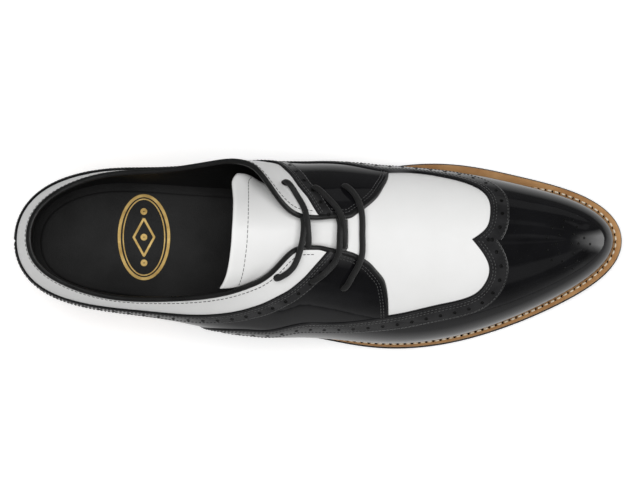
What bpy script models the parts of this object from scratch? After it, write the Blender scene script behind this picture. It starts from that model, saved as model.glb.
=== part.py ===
"""Two-tone wingtip shoe for the right foot, open-laced, standing empty on its sole.

Sizes are millimetres until a mesh is made. x runs from the heel end of the sole to its toe,
+y is the inner (medial) side and +z is up. The upper is drawn as ribs: each rib starts on the
feather line, where the upper stands on the welt, and climbs to the collar or over to the ridge
of the last. A point of the upper is named by the turn phi round the sole and the share t of
the way up its rib. Every panel, the tongue and the laces are read from that same skin.
"""
import bmesh
import bpy
import numpy as np
from mathutils import Matrix


def table(names, *rows):
    """Columns of a short station table by name."""
    return {name: np.array(column, float) for name, column in zip(names.split(), zip(*rows))}


MM = 0.001
UP = np.array([0.0, 0.0, 1.0])
SIGN = {"medial": 1.0, "lateral": -1.0}
SIDES = ("medial", "lateral")

# Sole: overall sizes, heights of the feather line, and the layers under it.
SOLE_LENGTH = 304.0
HEEL_RADIUS = 33.0
TOE_RADIUS = 19.5
SOLE_STACK = 8.1
HEEL_RISE = 22.5
TOE_SPRING = 10.5
SEAT_FRONT = 56.0
TREAD_BACK = 178.0
TREAD_FRONT = 214.0
GAP = 0.3
WELT_THICK = 3.7
WELT_STEP = 0.8
INSOLE_THICK = 3.0
INSOLE_INSET = 2.9
HEEL_BREAST = 76.0
HEEL_TAPER = 1.2
LIFT_THICK = 6.0

# Upper: wall, fullness of the ribs, and where the collar turns into the throat.
WALL_THICK = 2.0
FULLNESS = 0.56
RIDGE_CLEAR = 0.97
QUARTER_PULL = 0.38
TOE_FAN_FROM = 212.0
TOE_SETBACK = 32.0
COLLAR_FRONT = 114.0
THROAT_BACK = 148.0
THROAT_HALF = 8.6
THROAT_TAPER = 22.0
VAMP_POINT = 173.0

# Overlaid panels, rolled collar edge, tongue and laces.
PANEL_THICK = 1.0
PANEL_LIFT = 0.75
PANEL_FOOT = 0.025
PANEL_GAP = 0.022
HEEL_SEAM = 0.004
TAIL_CLEAR = 0.035
WING_SPREAD = 200.0
BINDING_RADIUS = 1.4
BINDING_SAG = 0.4
BINDING_FRONT = 167.0
TONGUE_THICK = 2.0
LACE_RADIUS = 1.6

# Facets along the pieces.
LINE_STEPS = 300
TAIL_COLUMNS = 13
TOE_COLUMNS = 13
TIP_COLUMNS = 8
QUARTER_COLUMNS = 33
RIBS = 40

# Half widths of the sole's edge.
OUTLINE = table(
    "x medial lateral",
    (42, 33.5, 33.5),
    (74, 32.5, 37.2),
    (102, 31.0, 41.2),
    (127, 31.0, 45.0),
    (152, 33.8, 49.9),
    (174, 37.6, 53.8),
    (197, 40.7, 54.4),
    (222, 40.2, 50.7),
    (252, 34.1, 41.3),
    (277, 26.8, 29.9),
)
# From the sole's edge in to the feather line.
MARGIN = table(
    "x medial lateral",
    (0, 2.3, 2.3),
    (74, 2.5, 2.5),
    (132, 3.0, 3.2),
    (167, 3.9, 4.7),
    (202, 5.9, 5.2),
    (240, 6.2, 5.4),
    (304, 6.2, 6.2),
)
# Collar edge: distance in from the feather line, height, and lean of the wall there in degrees.
COLLAR = table(
    "x medial_in medial_z medial_lean lateral_in lateral_z lateral_lean",
    (0, 4.6, 89.0, 16, 4.6, 89.0, 16),
    (22, 2.5, 84.0, 12, 3.5, 84.0, 14),
    (47, -1.0, 78.0, 6, 2.0, 77.0, 12),
    (72, -4.0, 75.5, 3, 3.5, 73.0, 19),
    (97, -9.0, 77.0, 3, 9.0, 73.5, 30),
    (112, -9.6, 80.0, 6, 15.5, 76.5, 40),
    (124, -3.0, 82.5, 22, 23.5, 79.5, 50),
    (135, 7.5, 81.5, 42, 32.0, 80.0, 58),
    (150, 18.0, 75.0, 62, 40.0, 75.0, 68),
)
# Ridge of the last along the instep, vamp and toe.
RIDGE = table(
    "x y z",
    (100, 2.5, 101.0),
    (117, 2.5, 91.5),
    (132, 2.5, 83.0),
    (152, 2.4, 73.0),
    (174, 2.0, 63.2),
    (202, 0.8, 53.5),
    (230, -0.4, 46.8),
    (262, -0.6, 41.8),
    (287, -0.3, 38.2),
    (304, 0.0, 35.5),
)
# How far the wall leans out where it leaves the welt, in degrees.
WALL = table(
    "x medial_flare lateral_flare",
    (0, 22, 22),
    (42, 18, 20),
    (74, 23, 30),
    (102, 30, 37),
    (132, 35, 26),
    (164, 33, 17),
    (184, 23, 17),
    (204, 13, 18),
    (240, 9, 16),
    (304, 8, 8),
)
# Upper edge of the wing from its tail at the waist to the peak on the ridge.
WING = {
    "lateral": table("x t", (84, 0.03), (92, 0.26), (112, 0.4), (138, 0.45), (160, 0.475), (185, 0.5),
                     (209, 0.57), (225, 0.62), (233, 0.7), (235.3, 0.79), (232.3, 0.9), (225.5, 1.0)),
    "medial": table("x t", (84, 0.03), (92, 0.22), (112, 0.33), (138, 0.36), (160, 0.37), (183, 0.36),
                    (203, 0.34), (220, 0.39), (230, 0.475), (235.8, 0.61), (236, 0.765), (233, 0.9),
                    (225.5, 1.0)),
}
# Upper edge of the dark quarter: along the pale collar, up to the throat, down the facing's front.
QUARTER = {
    "lateral": table("x t", (0, 0.74), (22, 0.73), (45, 0.67), (68, 0.63), (90, 0.66), (109, 0.75),
                     (121, 0.79), (133, 0.8), (143, 0.855), (150, 0.94), (158, 0.968), (165, 0.945),
                     (172.5, 0.85), (178.5, 0.74), (182, 0.62)),
    "medial": table("x t", (0, 0.74), (22, 0.73), (45, 0.68), (68, 0.63), (90, 0.57), (109, 0.54),
                    (125, 0.54), (132, 0.61), (138, 0.73), (144, 0.86), (149, 0.945), (157, 0.965),
                    (164.5, 0.94), (172.5, 0.76), (179, 0.6), (182.5, 0.47)),
}
# Tongue: half width about the ridge, and depth of its outer face under the instep.
TONGUE = table(
    "x half drop",
    (106, 22.5, 4.3),
    (113, 20.5, 4.3),
    (121, 17.5, 4.3),
    (132, 16.0, 4.2),
    (150, 14.5, 4.1),
    (165, 12.5, 3.9),
    (176, 11.5, 2.6),
    (184, 11.0, 2.4),
)
# Lace paths: station, offset from the shoe's axis and height of the cord's middle over the instep.
LACES = {
    "lace_bar": [
        table("x y lift", (161.8, 24.8, 4.1), (165.7, 20.7, 4.1), (168.5, 13.7, 4.1), (169, 1.5, 3.4),
              (168, -10.4, 4.1), (163.8, -18.2, 4.1), (160.3, -24.0, 4.1)),
    ],
    "lace_cross_middle": [
        table("x y lift", (146.7, 24.0, 4.1), (152, 19.0, 4.1), (157.6, 12.0, 4.1), (159.8, 4.5, 3.4),
              (160.2, -4.5, 3.4)),
        table("x y lift", (144.7, -20.7, 4.1), (151.5, -15.5, 4.1), (156.6, -8.6, 4.1), (157.6, -0.2, 3.4),
              (158.4, 8.0, 3.4)),
    ],
    "lace_cross_top": [
        table("x y lift", (131.7, 25.1, 4.3), (136.5, 20.3, 4.3), (140.4, 13.4, 4.1), (142, 3.5, 3.4),
              (143.2, -4.5, 3.4)),
        table("x y lift", (128.5, -19.5, 4.3), (134, -15.3, 4.3), (138, -5.9, 4.1), (139.8, 3.0, 3.4),
              (140.6, 8.5, 3.4)),
    ],
}


def spline(x, knots, values):
    """Natural cubic spline through a column, held at its end values outside the knots."""
    step = np.diff(knots)
    slope = np.diff(values) / step
    system = np.eye(len(knots))
    bend = np.zeros(len(knots))
    for i in range(1, len(knots) - 1):
        system[i, i - 1:i + 2] = step[i - 1], 2 * (step[i - 1] + step[i]), step[i]
        bend[i] = 6 * (slope[i] - slope[i - 1])
    curve = np.linalg.solve(system, bend)
    x = np.clip(x, knots[0], knots[-1])
    i = np.clip(np.searchsorted(knots, x) - 1, 0, len(step) - 1)
    u = x - knots[i]
    h = step[i]
    linear = slope[i] - h * (2 * curve[i] + curve[i + 1]) / 6
    return values[i] + linear * u + curve[i] * u**2 / 2 + (curve[i + 1] - curve[i]) * u**3 / (6 * h)


def read(rows, name, x):
    """One column of a table at stations x."""
    return spline(x, rows["x"], rows[name])


def ease(share):
    """Blend from 0 to 1 with no break in slope or bend at either end."""
    s = np.clip(share, 0, 1)
    return s**3 * (10 - 15 * s + 6 * s**2)


def station(phi):
    """Distance from the heel end for a turn phi round the sole, 0 at the heel and pi at the toe."""
    return SOLE_LENGTH * (1 - np.cos(phi)) / 2


def turn(x):
    """Turn round the sole for a distance from the heel end."""
    return np.arccos(np.clip(1 - 2 * np.asarray(x, float) / SOLE_LENGTH, -1, 1))


def sole_edge(phi, side):
    """Plan points of the sole's edge; its ends close as arcs of the heel and toe radius."""
    share = OUTLINE["x"] / SOLE_LENGTH
    inner = OUTLINE[side] / (2 * np.sqrt(share * (1 - share)))
    ends = np.sqrt(np.array([HEEL_RADIUS, TOE_RADIUS]) * SOLE_LENGTH / 2)
    knots = np.concatenate([[0], turn(OUTLINE["x"]), [np.pi]])
    width = spline(phi, knots, np.concatenate([ends[:1], inner, ends[1:]]))
    return np.stack([station(phi), SIGN[side] * np.sin(phi) * width], -1)


def outward(phi, side):
    """Plan direction square to the sole's edge, pointing out of the shoe."""
    along = sole_edge(phi + 1e-4, side) - sole_edge(phi - 1e-4, side)
    across = SIGN[side] * np.stack([-along[..., 1], along[..., 0]], -1)
    return across / np.linalg.norm(across, axis=-1, keepdims=True)


def inset(phi, side, distance):
    """Plan points a distance inside the sole's edge."""
    return sole_edge(phi, side) - np.asarray(distance)[..., None] * outward(phi, side)


def seat(x):
    """Height of the feather line: level over the tread, up the waist to the heel, sprung at the toe."""
    waist = ease((TREAD_BACK - x) / (TREAD_BACK - SEAT_FRONT))
    toe = np.clip((x - TREAD_FRONT) / (SOLE_LENGTH - TREAD_FRONT), 0, None)
    return SOLE_STACK + HEEL_RISE * waist + TOE_SPRING * toe**2


def bezier(points, t):
    """Cubic curve through four control points, one per rib, at shares t of the rib."""
    t = t[..., None]
    first, second, third, last = points
    return (1 - t)**3 * first + 3 * (1 - t)**2 * t * second + 3 * (1 - t) * t**2 * third + t**3 * last


def feather(phi, side):
    """Feather line, where the upper stands on the welt."""
    plan = inset(phi, side, read(MARGIN, side, station(phi)))
    return np.concatenate([plan, seat(plan[..., :1])], -1)


def instep_rib(phi, side):
    """Control points of a rib that runs from the feather line over to the ridge of the last."""
    x = station(phi)
    foot = feather(phi, side)
    out = np.concatenate([outward(phi, side), np.zeros(x.shape + (1,))], -1)
    flare = np.tan(np.radians(read(WALL, side + "_flare", x)))[..., None]
    fan = np.clip((x - TOE_FAN_FROM) / (SOLE_LENGTH - TOE_FAN_FROM), 0, 1)
    top_x = x - TOE_SETBACK * fan**2
    top = np.stack([top_x, read(RIDGE, "y", top_x), read(RIDGE, "z", top_x)], -1)
    rise = (top - foot)[..., 2:]
    shoulder = top + FULLNESS * (foot - top)
    shoulder[..., 2] = read(RIDGE, "z", shoulder[..., 0])
    return foot, foot + FULLNESS * rise * (UP + flare * out), shoulder, top


def quarter_rib(phi, side):
    """Control points of a rib that runs from the feather line up to the collar."""
    x = station(phi)
    foot = feather(phi, side)
    out = np.concatenate([outward(phi, side), np.zeros(x.shape + (1,))], -1)
    flare = np.tan(np.radians(read(WALL, side + "_flare", x)))[..., None]
    lean = np.tan(np.radians(read(COLLAR, side + "_lean", x)))[..., None]
    plan = inset(phi, side, read(MARGIN, side, x) + read(COLLAR, side + "_in", x))
    collar = np.concatenate([plan, read(COLLAR, side + "_z", x)[..., None]], -1)
    rise = (collar - foot)[..., 2:]
    pull = QUARTER_PULL * rise
    return foot, foot + pull * (UP + flare * out), collar - pull * (UP - lean * out), collar


def share_at(phi, side, gap):
    """Share of an instep rib at which it comes within a plan distance of the ridge."""
    rib = instep_rib(phi, side)
    low = np.zeros_like(phi)
    high = np.ones_like(phi)
    for _ in range(30):
        mid = (low + high) / 2
        away = np.linalg.norm((bezier(rib, mid) - rib[3])[..., :2], axis=-1)
        low = np.where(away > gap, mid, low)
        high = np.where(away > gap, high, mid)
    return np.where(gap > 0, high, 1.0)


def throat_share(phi, side):
    """Share of an instep rib that is leather, up to the edge of the throat slot."""
    run = np.clip((station(phi) - VAMP_POINT + THROAT_TAPER) / THROAT_TAPER, 0, 1)
    return share_at(phi, side, THROAT_HALF * np.sqrt(1 - run**2))


def skin(phi, t, side):
    """Outer face of the upper at turn phi and share t of the way up, before any offset."""
    phi, t = np.broadcast_arrays(np.asarray(phi, float), np.asarray(t, float))
    instep = ease((station(phi) - COLLAR_FRONT) / (THROAT_BACK - COLLAR_FRONT))[..., None]
    over = bezier(instep_rib(phi, side), t * throat_share(phi, side))
    return (1 - instep) * bezier(quarter_rib(phi, side), t) + instep * over


def lifted(shape, phi, t, side, lift):
    """Points a distance lift off a face, measured square to it."""
    phi, t = np.broadcast_arrays(np.asarray(phi, float), np.asarray(t, float))
    d = 2e-3
    low = np.minimum(t, RIDGE_CLEAR)
    along = shape(np.clip(phi + d, 0, np.pi), low, side) - shape(np.clip(phi - d, 0, np.pi), low, side)
    up = shape(phi, np.minimum(t + d, 1), side) - shape(phi, np.maximum(t - d, 0), side)
    square = SIGN[side] * np.cross(up, along)
    square /= np.linalg.norm(square, axis=-1, keepdims=True)
    return shape(phi, t, side) + np.asarray(lift)[..., None] * square


def instep(phi, t, side):
    """Skin carried on over the throat to the ridge, as the tongue follows it."""
    phi, t = np.broadcast_arrays(np.asarray(phi, float), np.asarray(t, float))
    return bezier(instep_rib(phi, side), t)


def material(name, colour, roughness):
    """Plain finish of one piece."""
    finish = bpy.data.materials.new(name)
    finish.use_nodes = True
    shader = finish.node_tree.nodes["Principled BSDF"]
    shader.inputs["Base Color"].default_value = (*colour, 1.0)
    shader.inputs["Roughness"].default_value = roughness
    return finish


def place(name, data, finish):
    """Object of a mesh or curve, in the scene and with its finish."""
    piece = bpy.data.objects.new(name, data)
    data.materials.append(finish)
    bpy.context.scene.collection.objects.link(piece)
    return piece


def weave(mesh, grid, flip):
    """Faces of one grid of points."""
    corners = [[mesh.verts.new(point * MM) for point in row] for row in grid]
    for near, far in zip(corners, corners[1:]):
        for a, b, c, d in zip(near, near[1:], far[1:], far):
            mesh.faces.new((d, c, b, a) if flip else (a, b, c, d))


def close(name, mesh, finish):
    """Mesh object with seams welded and faces turned outwards."""
    bmesh.ops.remove_doubles(mesh, verts=mesh.verts, dist=0.02 * MM)
    bmesh.ops.dissolve_degenerate(mesh, edges=mesh.edges, dist=0.01 * MM)
    bmesh.ops.recalc_face_normals(mesh, faces=mesh.faces)
    data = bpy.data.meshes.new(name)
    mesh.to_mesh(data)
    mesh.free()
    return place(name, data, finish)


def slab(name, top, bottom, finish):
    """Closed solid between two grids of points."""
    mesh = bmesh.new()
    weave(mesh, top, False)
    weave(mesh, bottom, True)
    for over, under in ((top[0], bottom[0]), (top[-1], bottom[-1]), (top[:, 0], bottom[:, 0]), (top[:, -1], bottom[:, -1])):
        weave(mesh, np.stack([over, under]), False)
    return close(name, mesh, finish)


def shell(name, halves, thick, offset, finish):
    """Hollow piece: half grids welded along their shared lines, then given a wall."""
    mesh = bmesh.new()
    for side, grid in halves.items():
        weave(mesh, grid, side == "lateral")
    piece = close(name, mesh, finish)
    outside = sum(face.normal.z * face.area for face in piece.data.polygons) > 0
    wall = piece.modifiers.new("wall", "SOLIDIFY")
    wall.thickness = thick * MM
    wall.offset = offset if outside else -offset
    wall.use_even_offset = True
    return piece


def plate(phi, inside, height):
    """Grid across the shoe between the two sides of an outline, a distance inside the sole's edge."""
    left, right = (inset(phi, side, inside(phi, side)) for side in SIDES)
    across = np.linspace(0, 1, 3)[:, None]
    plan = left[:, None] * (1 - across) + right[:, None] * across
    return np.concatenate([plan, height(plan[..., :1])], -1)


def sole_pieces():
    """Welt, outsole, insole, stacked heel and top lift, in layers GAP apart."""
    phi = np.sort(np.concatenate([np.linspace(0, np.pi, RIBS), turn([TREAD_BACK + 4, TREAD_FRONT - 4])]))
    heel = np.linspace(0, turn(HEEL_BREAST), 16)

    def edge(step):
        return lambda turned, side: np.full_like(turned, step)

    def below(drop):
        return lambda x: seat(x) - drop

    def level(z):
        return lambda x: np.full_like(x, z)

    def insole_edge(turned, side):
        return read(MARGIN, side, station(turned)) + INSOLE_INSET

    welt_foot = GAP + WELT_THICK
    slab("welt", plate(phi, edge(WELT_STEP), below(GAP)), plate(phi, edge(WELT_STEP), below(welt_foot)),
         material("welt_leather", (0.36, 0.24, 0.14), 0.5))
    slab("outsole", plate(phi, edge(0.0), below(welt_foot + GAP)), plate(phi, edge(0.0), below(SOLE_STACK)),
         material("outsole_edge", (0.02, 0.02, 0.02), 0.5))
    slab("insole", plate(phi, insole_edge, below(-INSOLE_THICK)), plate(phi, insole_edge, below(0.0)),
         material("insole_leather", (0.02, 0.02, 0.02), 0.6))
    slab("heel_stack", plate(heel, edge(0.4), below(SOLE_STACK + GAP)),
         plate(heel, edge(HEEL_TAPER), level(LIFT_THICK + GAP)), material("heel_leather", (0.3, 0.19, 0.11), 0.5))
    slab("heel_lift", plate(heel, edge(HEEL_TAPER), level(LIFT_THICK)), plate(heel, edge(HEEL_TAPER + 0.2), level(0.0)),
         material("lift_rubber", (0.02, 0.02, 0.02), 0.7))


def upper_turns():
    """Turns at which the upper has a rib."""
    return np.sort(np.concatenate([np.linspace(0, np.pi, RIBS), turn([BINDING_FRONT, VAMP_POINT])]))


def upper_piece():
    """Vamp and quarters as one wall, open at the collar, down the throat and underneath."""
    phi = upper_turns()
    share = np.linspace(0, 1, 11)
    halves = {side: skin(phi[:, None], share[None, :], side) for side in SIDES}
    shell("upper", halves, WALL_THICK, -1, material("white_leather", (0.85, 0.85, 0.84), 0.45))


def path(line, count):
    """Smooth run of (phi, t) through the rows of a panel line."""
    phi = np.maximum(turn(line["x"]), HEEL_SEAM)
    run = np.concatenate([[0], np.cumsum(np.hypot(np.diff(phi), np.diff(line["t"])))])
    at = np.linspace(0, run[-1], count)
    return spline(at, run, phi), np.clip(spline(at, run, line["t"]), PANEL_FOOT, 1)


def wing_piece():
    """Wing cap: from its upper edge down to the welt, and forward round the toe."""
    halves = {}
    for side in SIDES:
        line = np.stack(path(WING[side], LINE_STEPS))
        split = np.argmax(line[0] > turn(WING_SPREAD))
        front = np.linspace(split, LINE_STEPS - 1, TOE_COLUMNS + TIP_COLUMNS + 1)[1:]
        at = np.concatenate([np.linspace(0, split, TAIL_COLUMNS), front])
        phi, t = (np.interp(at, np.arange(LINE_STEPS), row) for row in line)
        tail = phi[:TAIL_COLUMNS]
        spread = np.linspace(tail[-1], np.pi, TOE_COLUMNS + 1)[1:]
        end_phi = np.concatenate([tail, spread, np.full(TIP_COLUMNS, np.pi)])
        climb = np.linspace(PANEL_FOOT, 1, TIP_COLUMNS + 1)[1:]
        end_t = np.concatenate([np.full(TAIL_COLUMNS + TOE_COLUMNS, PANEL_FOOT), climb])
        run = 1 - np.linspace(1, 0, 8)**1.3
        halves[side] = lifted(skin, phi[:, None] + (end_phi - phi)[:, None] * run,
                              t[:, None] + (end_t - t)[:, None] * run, side, PANEL_LIFT)
    shell("wing_cap", halves, PANEL_THICK, 1, material("black_patent_wing", (0.01, 0.01, 0.01), 0.12))


def quarter_pieces():
    """Dark quarter with its facing on each side, down to the welt or to the wing's tail."""
    for side in SIDES:
        phi, t = path(QUARTER[side], QUARTER_COLUMNS)
        tail_phi, tail_t = path(WING[side], LINE_STEPS)
        reach = np.argmax(tail_phi)
        foot = np.interp(phi + TAIL_CLEAR, tail_phi[:reach], tail_t[:reach] + PANEL_GAP, left=PANEL_FOOT)
        run = np.linspace(0, 1, 9)
        grid = lifted(skin, phi[:, None], foot[:, None] + (t - foot)[:, None] * run, side, PANEL_LIFT)
        shell("quarter_" + side, {side: grid}, PANEL_THICK, 1,
              material("black_patent_" + side, (0.01, 0.01, 0.01), 0.12))


def cord(name, paths, radius, closed, finish):
    """Round cord along each path, its ends capped."""
    data = bpy.data.curves.new(name, "CURVE")
    data.dimensions = "3D"
    data.bevel_depth = radius * MM
    data.bevel_resolution = 2
    data.use_fill_caps = True
    for points in paths:
        run = data.splines.new("POLY")
        run.points.add(len(points) - 1)
        run.use_cyclic_u = closed
        run.points.foreach_set("co", np.c_[points * MM, np.ones(len(points))].ravel())
    return place(name, data, finish)


def binding_piece():
    """Rolled edge that sits on the rim of the collar and of the throat."""
    phi = upper_turns()
    phi = phi[phi <= turn(BINDING_FRONT)]
    loop = []
    for side in SIDES:
        rim = lifted(skin, phi, np.ones_like(phi), side, -WALL_THICK / 2)
        climb = skin(phi, np.ones_like(phi), side) - skin(phi, np.full_like(phi, 0.98), side)
        climb /= np.linalg.norm(climb, axis=-1, keepdims=True)
        loop.append(rim + climb * (BINDING_RADIUS + GAP + BINDING_SAG))
    ring = np.concatenate([loop[0], loop[1][:0:-1]])
    cord("collar_binding", [ring], BINDING_RADIUS, True, material("binding_leather", (0.015, 0.015, 0.015), 0.4))


def tongue_piece():
    """Tongue: a padded strip under the throat that follows the ridge up to its free top edge."""
    x = np.linspace(TONGUE["x"][0], TONGUE["x"][-1], 12)
    phi = turn(x)
    run = np.linspace(0, 1, 6)
    faces = []
    drop = read(TONGUE, "drop", x)[:, None] * np.ones_like(run)
    for depth in (drop, drop + TONGUE_THICK):
        halves = []
        for side in SIDES:
            low = share_at(phi, side, read(TONGUE, "half", x))[:, None]
            halves.append(lifted(instep, phi[:, None], low + (1 - low) * run, side, -depth))
        middle = (halves[0][:, -1:] + halves[1][:, -1:]) / 2
        faces.append(np.concatenate([halves[0][:, :-1], middle, halves[1][:, -2::-1]], 1))
    slab("tongue", faces[0], faces[1], material("tongue_leather", (0.85, 0.85, 0.84), 0.5))


def lace_path(rows, count):
    """Points of one strand over the instep."""
    run = np.concatenate([[0], np.cumsum(np.hypot(np.diff(rows["x"]), np.diff(rows["y"])))])
    at = np.linspace(0, run[-1], count)
    x, y, lift = (spline(at, run, rows[name]) for name in ("x", "y", "lift"))
    away = y - read(RIDGE, "y", x)
    points = []
    for side in SIDES:
        phi = turn(x)
        points.append(lifted(instep, phi, share_at(phi, side, np.abs(away)), side, lift))
    return np.where((away > 0)[:, None], points[0], points[1])


def lace_pieces():
    """Straight bar at the front and two crossings, each joined into one solid."""
    for name, strands in LACES.items():
        finish = material(name, (0.015, 0.015, 0.015), 0.55)
        paths = [lace_path(rows, 13) for rows in strands]
        lace = cord(name, paths[:1], LACE_RADIUS, False, finish)
        for extra in paths[1:]:
            other = cord(name + "_cutter", [extra], LACE_RADIUS, False, finish)
            join_cords(lace, other)


def join_cords(first, second):
    """Union of two cords, left as a mesh on the first one's name."""
    name = first.name
    finish = first.data.materials[0]
    graph = bpy.context.evaluated_depsgraph_get()
    meshes = [bpy.data.meshes.new_from_object(cord.evaluated_get(graph)) for cord in (first, second)]
    for cord in (first, second):
        bpy.data.objects.remove(cord)
    base, extra = (place(name, mesh, finish) for mesh in meshes)
    extra.name = name + "_strand"
    extra.hide_render = True
    extra.display_type = "WIRE"
    union = base.modifiers.new("join", "BOOLEAN")
    union.operation = "UNION"
    union.solver = "EXACT"
    union.object = extra


def centre():
    """Move every piece so that the shoe stands on z = 0 with its box centred on the axis."""
    graph = bpy.context.evaluated_depsgraph_get()
    graph.update()
    low = np.full(3, np.inf)
    high = np.full(3, -np.inf)
    for piece in bpy.data.objects:
        mesh = piece.evaluated_get(graph).to_mesh()
        points = np.empty(len(mesh.vertices) * 3, np.float32)
        mesh.vertices.foreach_get("co", points)
        low = np.minimum(low, points.reshape(-1, 3).min(0))
        high = np.maximum(high, points.reshape(-1, 3).max(0))
    middle = (low + high) / 2
    for piece in bpy.data.objects:
        piece.data.transform(Matrix.Translation((-middle[0], -middle[1], -low[2])))


def main():
    for old in list(bpy.data.objects):
        bpy.data.objects.remove(old)
    sole_pieces()
    upper_piece()
    wing_piece()
    quarter_pieces()
    binding_piece()
    tongue_piece()
    lace_pieces()
    centre()


main()
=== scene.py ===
"""Dress of a two-tone wingtip shoe for the right foot: leathers, stitching, lacing and a plain studio.

Sizes are millimetres in the sole's own axes until a mesh is made: x runs from the heel end to the toe, +y is the
inner (medial) side and +z is up. A point of the upper is named by the turn phi round the sole, 0 at the heel and pi
at the toe, and by the share t of the way up its rib, 0 on the welt and 1 at the collar, the throat or the ridge.
"""
import logging
import math
from dataclasses import dataclass, field
from enum import Enum
from functools import cache
from typing import Any, Callable

import bmesh
import bpy
import numpy as np
from mathutils import Matrix, Vector
from mathutils.bvhtree import BVHTree
from numpy.typing import NDArray


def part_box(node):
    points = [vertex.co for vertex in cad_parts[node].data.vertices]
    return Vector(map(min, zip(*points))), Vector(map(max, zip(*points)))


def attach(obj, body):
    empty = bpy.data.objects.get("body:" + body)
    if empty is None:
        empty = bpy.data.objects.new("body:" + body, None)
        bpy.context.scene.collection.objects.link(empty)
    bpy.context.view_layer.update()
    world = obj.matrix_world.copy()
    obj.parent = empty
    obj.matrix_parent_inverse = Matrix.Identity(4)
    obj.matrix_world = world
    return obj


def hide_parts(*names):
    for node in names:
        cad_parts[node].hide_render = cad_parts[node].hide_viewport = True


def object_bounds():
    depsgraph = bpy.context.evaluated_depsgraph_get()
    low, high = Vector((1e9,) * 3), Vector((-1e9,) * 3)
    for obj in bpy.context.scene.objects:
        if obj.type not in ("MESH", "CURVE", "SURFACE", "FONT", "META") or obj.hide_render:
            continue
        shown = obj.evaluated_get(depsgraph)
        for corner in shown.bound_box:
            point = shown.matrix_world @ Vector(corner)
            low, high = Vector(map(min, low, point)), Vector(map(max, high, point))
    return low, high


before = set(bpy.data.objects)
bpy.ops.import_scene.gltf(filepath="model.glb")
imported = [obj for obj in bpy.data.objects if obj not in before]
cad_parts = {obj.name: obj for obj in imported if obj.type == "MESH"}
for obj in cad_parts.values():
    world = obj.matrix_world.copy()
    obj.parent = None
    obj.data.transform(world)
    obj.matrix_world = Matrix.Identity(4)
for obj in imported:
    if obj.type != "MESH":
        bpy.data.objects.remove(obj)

Array = NDArray[np.float64]
Index = NDArray[np.int64]
Colour = tuple[float, float, float]

MM = 0.001
UP = np.array([0.0, 0.0, 1.0])
# Direction that no punched leather faces: the dishes of the holes are turned from it.
ASKEW = np.array([0.31, 0.95, 0.02])
# Faces that meet at a larger angle than this keep a sharp edge.
CREASE = math.radians(62)
CAD_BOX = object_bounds()
LOG = logging.getLogger("shoe")


class Side(Enum):
    """Side of the shoe, with the sign of y on it."""

    MEDIAL = 1.0
    LATERAL = -1.0

    @property
    def word(self) -> str:
        """Name of the side as the tables spell it."""
        return self.name.lower()


class Pattern(Enum):
    """Marks that the making leaves on a surface."""

    GRAIN = "grain of leather"
    TWIST = "twisted thread"
    BRAID = "braided lace"
    LAYERS = "stacked lifts"
    SPECKLE = "moulded rubber"


class Pass(Enum):
    """How a strand of lace leaves sight."""

    EYELET = "down through a punched hole"
    EDGE = "under the edge of the opposite facing"


def spline(x: Array, knots: Array, values: Array) -> Array:
    """Natural cubic spline through a column, held at its end values outside the knots.

    Args:
        x: stations to read.
        knots: rising stations of the column.
        values: the column.

    Returns:
        The column at x, from the piecewise cubic whose second derivative is continuous and zero at both ends.
    """
    step = np.diff(knots)
    slope = np.diff(values) / step
    system = np.eye(len(knots))
    rows = np.arange(1, len(knots) - 1)
    system[rows, rows - 1] = step[:-1]
    system[rows, rows] = 2 * (step[:-1] + step[1:])
    system[rows, rows + 1] = step[1:]
    bend = np.zeros(len(knots))
    bend[rows] = 6 * np.diff(slope)
    curve = np.linalg.solve(system, bend)
    x = np.clip(x, knots[0], knots[-1])
    i = np.clip(np.searchsorted(knots, x) - 1, 0, len(step) - 1)
    u, h = x - knots[i], step[i]
    linear = slope[i] - h * (2 * curve[i] + curve[i + 1]) / 6
    return values[i] + linear * u + curve[i] * u**2 / 2 + (curve[i + 1] - curve[i]) * u**3 / (6 * h)


def ease(share: Array) -> Array:
    """Blend from 0 to 1 with no break in slope or bend: the fifth-degree step."""
    s = np.clip(share, 0, 1)
    return s**3 * (10 - 15 * s + 6 * s**2)


def unit(vectors: Array) -> Array:
    """Vectors divided by their own lengths."""
    return vectors / np.maximum(np.linalg.norm(vectors, axis=-1, keepdims=True), 1e-12)


def run_of(points: Array) -> Array:
    """Length along a polyline up to each of its points."""
    return np.concatenate([[0.0], np.cumsum(np.linalg.norm(np.diff(points, axis=0), axis=-1))])


def read(at: Array, run: Array, block: Array) -> Array:
    """Rows of a block at lengths along its run, on straight lines between its own rows."""
    return np.stack([np.interp(at, run, column) for column in block.T], -1)


def rounded(distance: Array, radius: float) -> Array:
    """Quarter-round edge: the share of full height at a distance in from the edge."""
    return np.sqrt(np.maximum(1 - (1 - np.clip(distance / radius, 0, 1))**2, 0))


class Table:
    """Short station table with named columns."""

    def __init__(self, names: str, *rows: tuple[float, ...]) -> None:
        """Keeps the rows as columns.

        Args:
            names: the columns' names, with spaces between.
            rows: one tuple per station.
        """
        self.columns: dict[str, Array] = dict(zip(names.split(), np.array(rows, float).T))

    def __getitem__(self, name: str) -> Array:
        """Column of that name."""
        return self.columns[name]

    def block(self, names: str) -> Array:
        """Columns side by side, one row per station."""
        return np.stack([self[name] for name in names.split()], -1)

    def at(self, name: str, x: Array) -> Array:
        """Column of that name at stations x, on a natural spline."""
        return spline(x, self["x"], self[name])


# Half widths of the sole's edge.
OUTLINE = Table("x medial lateral", (42, 33.5, 33.5), (74, 32.5, 37.2), (102, 31.0, 41.2), (127, 31.0, 45.0),
                (152, 33.8, 49.9), (174, 37.6, 53.8), (197, 40.7, 54.4), (222, 40.2, 50.7), (252, 34.1, 41.3),
                (277, 26.8, 29.9))
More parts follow.
